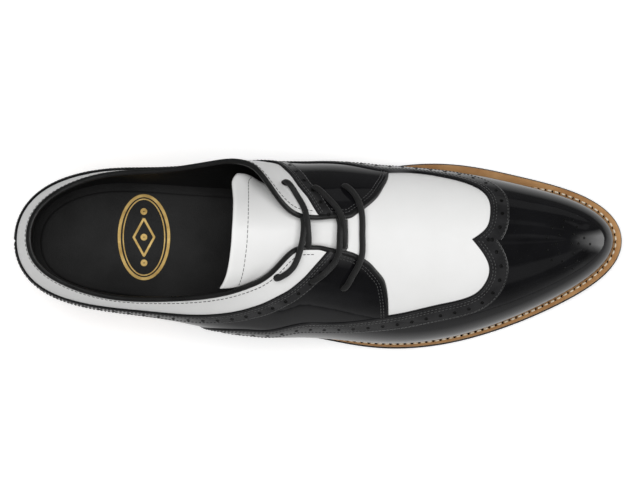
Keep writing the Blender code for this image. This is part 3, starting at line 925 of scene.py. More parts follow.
PATENT = Finish("black_patent", (0.004, 0.004, 0.0045), (0.007, 0.007, 0.008), (0.02, 0.05), cell=0.45, depth=0.0006,
                cloud=17.0, ripple=0.035)
STRIP = Finish("strip_patent", (0.013, 0.013, 0.0135), (0.024, 0.024, 0.025), (0.05, 0.1), cell=0.45, depth=0.001,
               cloud=9.0, ripple=0.02)
WHITE = Finish("white_calf", (0.86, 0.86, 0.855), (0.82, 0.82, 0.81), (0.36, 0.46), cell=0.55, depth=0.016,
               cloud=30.0, specular=0.4)
BINDING = Finish("rolled_binding", (0.007, 0.007, 0.007), (0.013, 0.013, 0.013), (0.26, 0.36), cell=0.5, depth=0.03,
                 specular=0.35)
LINING = Finish("black_lining", (0.008, 0.008, 0.008), (0.013, 0.013, 0.013), (0.42, 0.55), cell=0.6, depth=0.04)
SOCK = Finish("sock_leather", (0.014, 0.014, 0.014), (0.024, 0.024, 0.024), (0.38, 0.52), cell=0.7, depth=0.06,
              cloud=25.0)
WELT = Finish("tan_welt", (0.33, 0.16, 0.058), (0.5, 0.285, 0.125), (0.38, 0.55), cell=0.5, depth=0.04, cloud=11.0)
STACK = Finish("stacked_heel", (0.24, 0.115, 0.045), (0.4, 0.21, 0.09), (0.32, 0.5), Pattern.LAYERS, cell=3.1,
               depth=0.09)
SOLE_EDGE = Finish("sole_edge", (0.007, 0.007, 0.007), (0.014, 0.013, 0.012), (0.36, 0.55), Pattern.SPECKLE,
                   cell=0.5, depth=0.03)
LIFT = Finish("top_lift_rubber", (0.01, 0.01, 0.01), (0.022, 0.022, 0.022), (0.6, 0.8), Pattern.SPECKLE, cell=0.35,
              depth=0.05)
LACE = Finish("waxed_lace", (0.011, 0.011, 0.011), (0.02, 0.02, 0.02), (0.42, 0.58), Pattern.BRAID, cell=1.5,
              depth=0.11, around=6.0, sheen=0.05, specular=0.25)
THREAD = Finish("black_thread", (0.045, 0.045, 0.045), (0.085, 0.085, 0.085), (0.34, 0.5), Pattern.TWIST, cell=0.6,
                depth=0.07, around=1.0)
CREAM = Finish("cream_thread", (0.92, 0.82, 0.66), (0.84, 0.72, 0.54), (0.5, 0.7), Pattern.TWIST, cell=0.9, depth=0.14)
# Near-black, weakly glossy finish of the hole dishes: painted shade of a hole's depth, together with the dark lining
# under a punched hole.
HOLE_SHADE = Finish("punched_hole", (0.002, 0.002, 0.002), (0.004, 0.004, 0.004), (0.32, 0.45), cell=0.4, depth=0.02,
              specular=0.2)
FOIL = Finish("gold_foil", (0.78, 0.55, 0.2), (0.5, 0.32, 0.1), (0.3, 0.5), cell=0.6, depth=0.03, cloud=5.0,
              metal=0.25)


@dataclass(frozen=True)
class Stitch:
    """Row of lock stitches: short rounded lengths of thread that dip into the leather at both ends."""

    length: float
    gap: float
    half: float
    rise: float
    sunk: float = 0.04
    rings: int = 6
    sides: int = 6

    def meets(self, run: float) -> Array:
        """Lengths along a line at which its stitches meet.

        Args:
            run: length of the line.

        Returns:
            As many whole stitches as it takes, centred on it: one length more than there are stitches.
        """
        pitch = self.length + self.gap
        count = max(int((run - self.gap) / pitch), 0)
        return (run - count * pitch) / 2 + pitch * np.arange(count + 1)

    def sew(self, piece: Piece, points: Array, normals: Array) -> None:
        """Lays the row along a line.

        Args:
            piece: piece that takes in the thread.
            points: the line.
            normals: directions out of the leather along it.
        """
        run = run_of(points)
        centres = self.meets(run[-1])[:-1] + (self.length + self.gap) / 2
        if not len(centres):
            return
        a = np.linspace(-1, 1, self.rings)
        at = centres[:, None] + a * self.length / 2
        middle, out = (read(at, run, block) for block in (points, normals))
        out = unit(out)
        along = unit(np.gradient(middle, axis=1))
        across = unit(np.cross(out, along))
        turned = math.tau * np.arange(self.sides) / self.sides
        thick = self.half * np.sqrt(np.maximum(1 - a**4, 0))
        middle = middle + (self.rise * (1 - a**2) - self.sunk)[:, None] * out
        ring = (np.cos(turned)[:, None] * across[:, :, None] + np.sin(turned)[:, None] * out[:, :, None])
        block = middle[:, :, None] + thick[:, None, None] * ring
        uv = np.stack(np.broadcast_arrays(at[:, :, None], turned / math.tau), -1)
        piece.rings(block, uv)


# Profile of a punched hole, from its middle underneath, over the lip and down into the dish: reach as a share of the
# radius and level as a share of the lip.
DISH = Table("reach level", (0.0, -0.12), (1.35, -0.12), (1.25, 0.5), (1.0, 1.0), (0.55, 0.2), (0.0, 0.12))


@dataclass(frozen=True)
class Punch:
    """Small punched hole: a dark dish with a rolled lip, lying on the leather; its near-black finish is painted shade
    of the hole's depth.
    """

    radius: float
    lip: float
    sides: int = 14

    def strike(self, piece: Piece, centres: Array, normals: Array) -> None:
        """Adds a hole at each centre: the dish's profile turned about the leather's normal.

        Args:
            piece: piece that takes in the holes.
            centres: where they are.
            normals: directions out of the leather there.
        """
        reach, level = self.radius * DISH["reach"], self.lip * DISH["level"]
        side = unit(np.cross(normals, ASKEW))
        other = np.cross(normals, side)
        turned = math.tau * np.arange(self.sides) / self.sides
        ring = np.cos(turned)[:, None] * side[:, None, None] + np.sin(turned)[:, None] * other[:, None, None]
        block = centres[:, None, None] + level[:, None, None] * normals[:, None, None] + reach[:, None, None] * ring
        piece.rings(block)


FINE_STITCH = Stitch(length=1.5, gap=0.4, half=0.2, rise=0.14)
WELT_STITCH = Stitch(length=2.6, gap=1.1, half=0.5, rise=0.34)
COLLAR_STITCH = Stitch(length=1.9, gap=0.3, half=0.2, rise=0.13)
TONGUE_STITCH = Stitch(length=2.2, gap=0.2, half=0.17, rise=0.12)
STRIP_HOLE = Punch(radius=0.78, lip=0.17)
TOE_HOLE = Punch(radius=0.52, lip=0.08)
# Near-black dots at the stitch ends on the welt: painted shade of the gaps between stitches.
STITCH_GAP_SHADE = Punch(radius=0.5, lip=0.06, sides=10)
EYELET = Punch(radius=1.55, lip=0.3, sides=18)


def tube(piece: Piece, path: Array, normals: Array, wide: Array, high: Array, sides: int = 16) -> None:
    """Cord along a path: an oval carried along it, its ends drawn in to a point.

    Args:
        piece: piece that takes in the cord.
        path: the cord's middle line.
        normals: directions that the oval's height follows.
        wide: half widths along the path.
        high: half heights along the path.
        sides: points round the oval.
    """
    along = unit(np.gradient(path, axis=0))
    across = unit(np.cross(normals, along))
    out = np.cross(along, across)
    run = run_of(path)
    ends = rounded(np.minimum(run, run[-1] - run), float(np.max(wide)))
    turned = math.tau * np.arange(sides + 1) / sides
    ring = (np.cos(turned)[:, None] * (wide * ends)[:, None, None] * across[:, None]
            + np.sin(turned)[:, None] * (high * ends)[:, None, None] * out[:, None])
    uv = np.stack(np.broadcast_arrays(run[:, None], turned / math.tau), -1)
    piece.weave(piece.place(path[:, None] + ring, uv))


@dataclass
class Strip:
    """Brogued strip laid along a seam: rows of parallel lines, with a punched row and stitching."""

    seam: Seam
    base: float
    thick: float = 0.4
    near: float = 0.6
    far: float = 9.7
    holes_at: float = 6.2
    pitch: float = 7.4
    end_gap: float = 2.0
    pink: float = 0.3
    pink_pitch: float = 2.0
    spacing: float = 0.5
    edge_round: float = 0.55
    tail_round: float = 0.6
    sunk: float = 1.1
    edge: tuple[float, ...] = (0.0, 0.08, 0.2, 0.38, 0.65)
    inner: tuple[float, float, int] = (-4.0, 3.0, 8)

    def rows(self) -> Array:
        """Distances of the parallel lines from the seam.

        Returns:
            The distances, rising: close together at both edges, and even on both sides of the holes.
        """
        edge = np.array(self.edge)
        inner = self.holes_at + np.linspace(*self.inner)
        rows = np.concatenate([self.near + edge, inner, self.far - edge])
        return np.unique(np.round(rows[(rows >= self.near) & (rows <= self.far)], 3))

    def lines(self) -> tuple[Array, list[Seam]]:
        """Parallel lines of the strip, each worked out from the one before.

        Returns:
            Distances, and the line at each, gathered to one point where it would cross the ridge or the rim.
        """
        distances, lines, at = self.rows(), [], 0.0
        line = self.seam.evenly(int(run_of(self.seam.points())[-1] / self.spacing))
        for distance in distances:
            line = line.beside(distance - at)
            at = distance
            lines.append(line.stopped())
        return distances, lines

    def lay(self, piece: Piece, punched: Piece) -> None:
        """Adds the strip and its row of holes: lift falls off round both edges, and the far edge is pinked.

        Args:
            piece: piece that takes in the strip.
            punched: piece that takes in the holes.
        """
        distances, lines = self.lines()
        phi, t = (np.stack([getattr(line, name) for line in lines]) for name in ("phi", "t"))
        middle = lines[int(np.argmin(np.abs(distances - self.holes_at)))]
        run = run_of(middle.points())
        left = run[-1] - run
        tooth = self.pink * np.abs(2 * (left / self.pink_pitch % 1) - 1)
        grow = np.clip((distances - (self.far - 1)), 0, 1)[:, None] * tooth
        phi, t = (v + grow * (v[-1] - v[-4]) / (distances[-1] - distances[-4]) for v in (phi, t))
        side, last = self.seam.side, self.seam.last
        at = run[-1] - self.pitch * np.arange(int((run[-1] - self.end_gap) / self.pitch) + 1)
        holes, out = (read(at, run, block) for block in (middle.points(self.base + self.thick), middle.normals()))
        STRIP_HOLE.strike(punched, holes, unit(out))
        edge = np.minimum(distances - self.near, self.far - distances)[:, None]
        lift = self.base + self.thick * rounded(edge, self.edge_round) * rounded(run, self.tail_round)
        under = np.full_like(lift, self.base - self.sunk)
        piece.sheet(last.lifted(phi, t, side, lift), last.lifted(phi, t, side, under))

    def stitch(self, piece: Piece, stitch: Stitch, *distances: float) -> None:
        """Sews rows on top of the strip.

        Args:
            piece: piece that takes in the thread.
            stitch: kind of stitch.
            distances: how far from the seam each row runs.
        """
        for distance in distances:
            line = self.seam.beside(distance)
            line = line.part(line.t <= 1)
            stitch.sew(piece, line.points(self.base + self.thick), line.normals())


@dataclass
class Sole:
    """Welt, outsole, insole, stacked heel and top lift, in layers a gap apart."""

    last: Last
    gap: float = 0.3
    welt_thick: float = 3.7
    welt_step: float = 0.8
    insole_thick: float = 3.0
    insole_inset: float = 0.4
    heel_breast: float = 76.0
    lift_thick: float = 6.0
    stitch_out: float = 2.6
    stitch_in: float = 1.2
    stitch_rim: float = 1.6
    stitch_toe: float = 252.0
    stitch_toe_run: float = 24.0
    stitch_from: float = 118.0
    stitch_points: int = 1500
    turns: int = 220
    middle_rows: int = 7
    foil_at: tuple[float, float] = (60.0, 2.5)
    foil_oval: tuple[float, float] = (12.5, 21.0)
    foil_bands: tuple[tuple[float, float], ...] = ((1.0, 0.75), (0.84, 0.3))
    foil_lozenge: tuple[float, float] = (5.2, 9.5)
    foil_line: float = 0.55
    foil_dot: float = 1.0
    foil_dot_line: float = 0.7
    foil_dots: tuple[float, ...] = (-13.0, 0.0, 13.0)
    foil_points: int = 181
    foil_over: float = 0.08
    foil_under: float = 0.22

    def slab(self, name: str, rim: Table, height: Callable[[Array, float], Array], front: float,
             extra: Callable[[Array, Side], Any] | None = None) -> Piece:
        """Closed plate: a rim profile carried round the sole's edge and ruled across the middle.

        Args:
            name: name of the piece.
            rim: profile of its edge.
            height: height of plan stations for a share of the thickness.
            front: station at which the plate ends.
            extra: inset of the plate's outline from the sole's edge, at each turn and side.

        Returns:
            The piece, not yet built.
        """
        piece = Piece(name, self.last)
        phi = np.linspace(0, self.last.turn(front), self.turns)
        across = np.linspace(0, 1, self.middle_rows)[:-1]
        inner = {}
        for side in Side:
            further = 0.0 if extra is None else extra(phi, side)
            inner[side] = [self.last.inset(phi, side, np.broadcast_to(inset + further, phi.shape))
                           for inset in rim["inset"]]
        share = np.pad(rim["share"], len(across), mode="edge")
        halves = []
        for side, other in ((Side.MEDIAL, Side.LATERAL), (Side.LATERAL, Side.MEDIAL)):
            low, high = ((inner[side][i] + inner[other][i]) / 2 for i in (0, -1))
            plan = [low + (inner[side][0] - low) * s for s in across] + inner[side]
            plan += [high + (inner[side][-1] - high) * s for s in across[::-1]]
            halves.append(np.stack([np.concatenate([p, height(p[:, 0], s)[:, None]], -1) for p, s in zip(plan, share)]))
        for grid in halves:
            numbers = piece.place(grid)
            piece.weave(numbers)
            if front < self.last.length:
                half = len(numbers) // 2
                piece.weave(np.stack([numbers[:half + 1, -1], numbers[::-1, -1][:half + 1]]))
        return piece

    def layer(self, top: float, bottom: float) -> Callable[[Array, float], Array]:
        """Height between two depths under the feather line."""
        return lambda x, share: self.last.seat(x) - bottom + (bottom - top) * share

    def build(self) -> None:
        """Builds the plates and the stitching that holds them."""
        length, stack, welt_foot = self.last.length, self.last.sole_stack, self.gap + self.welt_thick
        self.slab("welt_plate", WELT_RIM, self.layer(self.gap, welt_foot), length,
                  lambda phi, side: self.welt_step).build(WELT, "welt_leather", "welt")
        self.slab("outsole_plate", OUTSOLE_RIM, self.layer(welt_foot + self.gap, stack), length).build(
            SOLE_EDGE, "outsole_rubber", "outsole")
        foot = self.lift_thick + self.gap
        self.slab("heel_block", HEEL_RIM, lambda x, s: foot + (self.last.seat(x) - stack - self.gap - foot) * s,
                  self.heel_breast).build(STACK, "heel_leather", "heel_stack")
        self.slab("top_lift", LIFT_RIM, lambda x, s: np.full_like(x, self.lift_thick * s), self.heel_breast).build(
            LIFT, "lift_rubber", "heel_lift")
        self.slab("sock", SOCK_RIM, self.layer(-self.insole_thick, 0.0), length,
                  lambda phi, side: self.last.margin(phi, side) + self.insole_inset).build(
                      SOCK, "insole_leather", "insole")
        self.sew()
        self.stamp()

    def sew(self) -> None:
        """Sews the welt: cream stitches just outside the upper, from waist to waist round the toe, with a near-black
        dot at each stitch's end as painted shade of the gaps between stitches.
        """
        thread, gap_shade = Piece("welt_stitches", self.last), Piece("welt_stitch_gap_shade", self.last)
        phi = np.linspace(self.last.turn(self.stitch_from), np.pi, self.stitch_points)
        toe = ease((self.last.station(phi) - self.stitch_toe) / self.stitch_toe_run)
        runs = []
        for side, share in ((Side.MEDIAL, toe), (Side.LATERAL, 1.0)):
            away = self.stitch_in + (self.stitch_out - self.stitch_in) * share
            plan = self.last.inset(phi, side, np.maximum(self.last.margin(phi, side) - away, self.stitch_rim))
            runs.append(np.concatenate([plan, self.last.seat(plan[:, :1]) - self.gap], -1))
        line = np.concatenate([runs[0], runs[1][-2::-1]])
        WELT_STITCH.sew(thread, line, np.broadcast_to(UP, line.shape))
        run = run_of(line)
        # Dark dots where the stitches meet: painted shade of the gaps between stitches.
        marks = read(WELT_STITCH.meets(run[-1]), run, line)
        STITCH_GAP_SHADE.strike(gap_shade, marks, np.broadcast_to(UP, marks.shape))
        thread.build(CREAM, "welt_leather")
        gap_shade.build(HOLE_SHADE, "insole_leather")

    def stamp(self) -> None:
        """Gold foil pressed on the heel of the sock: two plain ovals, and a lozenge in a row of dots."""
        foil = Piece("sock_foil", self.last)
        turned = np.linspace(0, math.tau, self.foil_points)
        ring = np.stack([np.cos(turned), np.sin(turned)], -1)
        corners = (np.abs(np.mod(turned / math.tau * 4 + np.array([[1.0], [0.0]]), 4) - 2) - 1).T

        def ribbon(plan: Array, half: float) -> None:
            """Adds a flat band along a closed line about the foil's middle, a hair over the sock.

            Args:
                plan: the line.
                half: half the band's width.
            """
            plan = plan + np.array(self.foil_at)
            path = np.concatenate([plan, self.last.seat(plan[:, :1]) + self.insole_thick], -1)
            across = half * unit(np.cross(UP, np.gradient(path, axis=0)))
            edges = np.stack([path - across, path + across])
            foil.sheet(edges + self.foil_over * UP, edges - self.foil_under * UP, ends=False)

        for size, half in self.foil_bands:
            ribbon(ring * self.foil_oval * np.array([size, size**0.5]), half)
        ribbon(corners * self.foil_lozenge, self.foil_line)
        for offset in self.foil_dots:
            ribbon(ring * self.foil_dot + np.array([0.0, offset]), self.foil_dot_line)
        foil.build(FOIL, "insole_leather")


@dataclass
class Upper:
    """White outer leather of vamp and collar, and the black lining inside it."""

    last: Last
    outer: float = 1.0
    slip: float = 0.03
    vamp_edge: float = 163.0
    crowd: float = 1.15
    columns: int = 200
    rows: int = 56
    weld: float = 0.05

    def shell(self, name: str, outside: float, inside: float) -> Piece:
        """Wall of ribs between two depths under the skin, open at the collar, the throat and underneath; the vamp's
        back edge runs straight across the throat.

        Args:
            name: name of the piece.
            outside: depth of the outer face.
            inside: depth of the inner face.

        Returns:
            The piece, not yet built.
        """
        piece = Piece(name, self.last)
        step = self.last.turn(self.vamp_edge)
        phi = np.unique(np.concatenate([np.linspace(0, np.pi, self.columns), [step - 1e-3, step]]))
        share = 1 - (1 - np.linspace(0, 1, self.rows)[:, None])**self.crowd
        for side in Side:
            t = share * np.where(phi < step, 1.0, 1 / np.interp(phi, *self.last.throat[side]))
            faces = [self.last.lifted(phi[None], t, side, np.full((1, 1), -depth)) for depth in (outside, inside)]
            piece.sheet(*faces, last=phi[:-1] < step, ends=False)
        return piece

    def build(self) -> None:
        """Builds both layers of the wall."""
        self.shell("vamp_and_collar", 0.0, self.outer).build(WHITE, "white_leather", "upper", weld=self.weld)
        self.shell("lining", self.outer + self.slip, self.last.wall).build(
            LINING, "insole_leather", weld=self.weld)


@dataclass
class Wing:
    """Wing cap round the toe with its tails, brogued strip, stitching and toe medallion."""

    last: Last
    thick: float = 1.0
    round: float = 0.8
    sunk: float = 0.1
    spread: float = 200.0
    tail_columns: int = 110
    toe_columns: int = 110
    tip_columns: int = 60
    rows: int = 38
    crowd: float = 1.05
    edge: tuple[float, ...] = (0.0, 0.1, 0.25, 0.45, 0.7, 1.0)
    least_reach: float = 3.0
    strip_from: float = 88.0
    stitch_rows: tuple[float, ...] = (1.7, 3.1, 8.9)
    axis: float = -2.6
    middle: float = 275.5
    clear: float = 120.0
    weld: float = 0.06

    def seam(self, side: Side) -> Seam:
        """Upper edge of the wing on one side."""
        return Seam.through(self.last, side, WING[side])

    def half(self, side: Side) -> tuple[Array, Array]:
        """Turns and shares of the cap on one side.

        Args:
            side: side of the shoe.

        Returns:
            Grids of turn and share, each column run from the wing's edge down to the welt or to the toe's middle.
        """
        seam = self.seam(side)
        count = len(seam.phi)
        split = int(np.argmax(seam.phi > self.last.turn(self.spread)))
        front = np.linspace(split, count - 1, self.toe_columns + self.tip_columns + 1)[1:]
        at = np.concatenate([np.linspace(0, split, self.tail_columns), front])
        phi, t = (np.interp(at, np.arange(count), v) for v in (seam.phi, seam.t))
        spread = np.linspace(phi[self.tail_columns - 1], np.pi, self.toe_columns + 1)[1:]
        end_phi = np.concatenate([phi[:self.tail_columns], spread, np.full(self.tip_columns, np.pi)])
        climb = np.linspace(0, 1, self.tip_columns + 1)[1:]
        end_t = np.concatenate([np.zeros(self.tail_columns + self.toe_columns), climb])
        reach = np.linalg.norm(self.last.skin(phi, t, side) - self.last.skin(end_phi, end_t, side), axis=-1)
        first = np.minimum(np.array(self.edge)[:, None] / np.maximum(reach, self.least_reach), 0.5)
        rest = first[-1] + (1 - first[-1]) * np.linspace(0, 1, self.rows)[1:, None]**self.crowd
        run = np.concatenate([first, rest])
        return phi + (end_phi - phi) * run, t + (end_t - t) * run

    def cap(self) -> bpy.types.Object:
        """Cap over both sides, its upper edge rounded down to the leather under it.

        Returns:
            The finished object.
        """
        piece = Piece("wing_leather", self.last)
        for side in Side:
            phi, t = self.half(side)
            base = self.last.skin(phi, t, side)
            down = np.concatenate([np.zeros((1, base.shape[1])),
                                   np.cumsum(np.linalg.norm(np.diff(base, axis=0), axis=-1), 0)])
            lift = self.thick * rounded(down, self.round)
            foot = np.arange(phi.shape[1] - 1) < self.tail_columns + self.toe_columns - 1
            under = np.full_like(lift, -self.sunk)
            piece.sheet(self.last.lifted(phi, t, side, lift), self.last.lifted(phi, t, side, under), last=foot,
                        ends=False)
        return piece.build(PATENT, "patent_leather", "wing_cap", weld=self.weld)

    def build(self) -> None:
        """Builds the cap, its strips, the stitching and the holes in the toe."""
        cap = self.cap()
        strip, thread, holes = (Piece("wing_" + word, self.last) for word in ("strip", "stitches", "holes"))
        for side in Side:
            band = Strip(self.seam(side).between(self.strip_from, self.last.length), self.thick)
            band.lay(strip, holes)
            band.stitch(thread, FINE_STITCH, *self.stitch_rows)
        # The strip holes' near-black finish is painted shade of their depth.
        holes.build(HOLE_SHADE, "patent_leather")
        strip.build(STRIP, "patent_leather")
        thread.build(THREAD, "patent_leather")
        self.medallion(cap)

    def medallion(self, cap: bpy.types.Object) -> None:
        """Punches the toe figure: each hole is dropped straight down on the cap.

        Args:
            cap: the finished cap.
        """
        forward = np.concatenate([MEDALLION["forward"], MEDALLION["forward"], MEDALLION_AXIS["forward"]])
        out = np.concatenate([MEDALLION["out"], -MEDALLION["out"], np.zeros(len(MEDALLION_AXIS["forward"]))])
        spots = np.stack([self.middle + forward, self.axis + out, np.full_like(out, self.clear)], -1)
        tree = BVHTree.FromObject(cap, bpy.context.evaluated_depsgraph_get())
        hits = [tree.ray_cast(Vector(spot), Vector((0, 0, -1))) for spot in self.last.framed(spots)]
        centres = np.array([hit[0] for hit in hits]) / MM - self.last.shift
        holes = Piece("toe_medallion", self.last)
        TOE_HOLE.strike(holes, centres, np.array([hit[1] for hit in hits]))
        # The medallion holes' near-black finish is painted shade of their depth.
        holes.build(HOLE_SHADE, "patent_leather")


@dataclass
class Quarters:
    """Dark quarters with their facings, brogued collar strips and stitching."""

    last: Last
    thick: float = 0.7
    round: float = 0.6
    sunk: float = 0.1
    columns: int = 420
    rows: int = 34
    edge: tuple[float, ...] = (0.0, 0.1, 0.25, 0.45, 0.7, 1.2, 2.0, 3.2)
    least_reach: float = 2.0
    under_wing: float = 0.03
    throat_share: float = 0.997
    strip_near: float = 0.5
    strip_far: float = 7.4
    strip_holes: float = 4.7
    stitch_rows: tuple[float, ...] = (1.3, 2.5, 6.8)
    front_rows: tuple[float, ...] = (1.9, 3.3)
    front_points: int = 500

    def foot(self, phi: Array, side: Side) -> Array:
        """Lower edge of the quarter.

        Args:
            phi: turns round the sole.
            side: side of the shoe.

        Returns:
            Shares: the welt behind the wing's tail, then just under the wing's edge.
        """
        wing = Seam.through(self.last, side, WING[side])
        rise = np.argmax(wing.phi)
        return np.interp(phi, wing.phi[:rise], np.maximum(wing.t[:rise] - self.under_wing, 0), left=0.0)

    def lines(self, side: Side) -> tuple[Seam, Seam]:
        """Upper edge of the quarter on one side, and the edge of its facing."""
        return Seam.through(self.last, side, QUARTER[side]), Seam.through(self.last, side, FACING[side])

    def panel(self, side: Side) -> None:
        """Quarter of one side: ruled ribs down from its upper edge and its front, both rounded, to its foot.

        Args:
            side: side of the shoe.
        """
        top, front = self.lines(side)
        top = top.part(top.t < self.throat_share)
        seam = Seam(self.last, side, np.append(top.phi, front.phi), np.append(top.t, front.t)).evenly(self.columns)
        foot = np.minimum(self.foot(seam.phi, side), seam.t)
        reach = np.linalg.norm(seam.points() - self.last.skin(seam.phi, foot, side), axis=-1)
        near = np.array(self.edge)[:, None] / np.maximum(reach, self.least_reach)
        near = np.minimum(near, np.linspace(0, 0.5, len(near))[:, None])
        run = np.concatenate([near, near[-1] + (1 - near[-1]) * np.linspace(0, 1, self.rows)[1:, None]])
        phi = np.broadcast_to(seam.phi, run.shape)
        t = seam.t + (foot - seam.t) * run
        base = self.last.skin(phi, t, side)
        slant = np.linalg.norm(np.cross(unit(np.gradient(base[0], axis=0)), unit(base[2] - base[0])), axis=-1)
        deep = np.cumsum(np.linalg.norm(np.diff(base, axis=0, prepend=base[:1]), axis=-1), 0) * slant
        lift = self.thick * rounded(deep, self.round)
        piece = Piece("quarter_leather_" + side.word, self.last)
        under = np.full_like(lift, -self.sunk)
        piece.sheet(self.last.lifted(phi, t, side, lift), self.last.lifted(phi, t, side, under))
        piece.build(PATENT, "patent_leather", "quarter_" + side.word)

    def build(self) -> None:
        """Builds the panels, their strips and all rows of stitching."""
        strip, thread, holes = (Piece("quarter_" + word, self.last) for word in ("strip", "stitches", "holes"))
        for side in Side:
            self.panel(side)
            top, front = self.lines(side)
            band = Strip(top, self.thick, near=self.strip_near, far=self.strip_far, holes_at=self.strip_holes)
            band.lay(strip, holes)
            band.stitch(thread, FINE_STITCH, *self.stitch_rows)
            front = front.part(front.t > self.foot(front.phi, side)).evenly(self.front_points)
            for distance in self.front_rows:
                row = front.beside(distance)
                FINE_STITCH.sew(thread, row.points(self.thick), row.normals())
        # The strip holes' near-black finish is painted shade of their depth.
        holes.build(HOLE_SHADE, "patent_leather")
        strip.build(STRIP, "patent_leather")
        thread.build(THREAD, "patent_leather")


@dataclass
class Collar:
    """Rolled binding on the rim of collar and throat, with the stitch line under it."""

    last: Last
    radius: float = 1.35
    sag: float = 0.5
    rim_front: float = 149.0
    facing_from: float = 157.0
    facing_to: float = 190.0
    facing_lift: float = 0.2
    climb_from: float = 0.98
    rim_points: int = 500
    thin: int = 6
    points: int = 1100
    sides: int = 14
    tip: float = 0.42
    tip_run: float = 30.0
    stitch_down: float = 2.3
    stitch_front: float = 146.5
    stitch_points: int = 900

    def rim(self, side: Side) -> tuple[Array, Array]:
        """Middle line of the binding on one side and the directions out of the leather there.

        Args:
            side: side of the shoe.

        Returns:
            Points from the heel to the throat and on down the facing's front edge, and unit directions.
        """
        phi = np.linspace(0, self.last.turn(self.rim_front), self.rim_points)
        one = np.ones_like(phi)
        climb = unit(self.last.skin(phi, one, side) - self.last.skin(phi, self.climb_from * one, side))
        out = self.last.normal(self.last.skin, phi, one, side)
        rim = self.last.lifted(phi, one, side, -self.last.wall / 2) + climb * (self.radius - self.sag)
        seam = Seam.through(self.last, side, FACING[side]).between(self.facing_from, self.facing_to)
        points = np.concatenate([rim, seam.points(self.facing_lift)])
        return points, np.concatenate([out, seam.normals()])

    def build(self) -> None:
        """Builds the binding as one cord and sews the collar under it."""
        halves = [self.rim(side) for side in Side]
        points, out = (np.concatenate([halves[0][i][:0:-1], halves[1][i]]) for i in (0, 1))
        run = run_of(points)
        at = np.linspace(0, run[-1], self.points)
        pick = np.append(np.arange(len(run) - 1)[::self.thin], len(run) - 1)
        path, out = (np.stack([spline(at, run[pick], v[pick]) for v in block.T], -1) for block in (points, out))
        end = np.minimum(at, run[-1] - at)
        radius = self.radius * (self.tip + (1 - self.tip) * ease(end / self.tip_run))
        piece = Piece("collar_roll", self.last)
        tube(piece, path, unit(out), radius, radius, self.sides)
        piece.build(BINDING, "binding_leather", "collar_binding")
        thread = Piece("collar_stitches", self.last)
        for side in Side:
            phi = np.linspace(0, self.last.turn(self.stitch_front), self.stitch_points)
            row = Seam(self.last, side, phi, np.ones_like(phi)).beside(self.stitch_down)
            COLLAR_STITCH.sew(thread, row.points(), row.normals())
        thread.build(THREAD, "binding_leather")


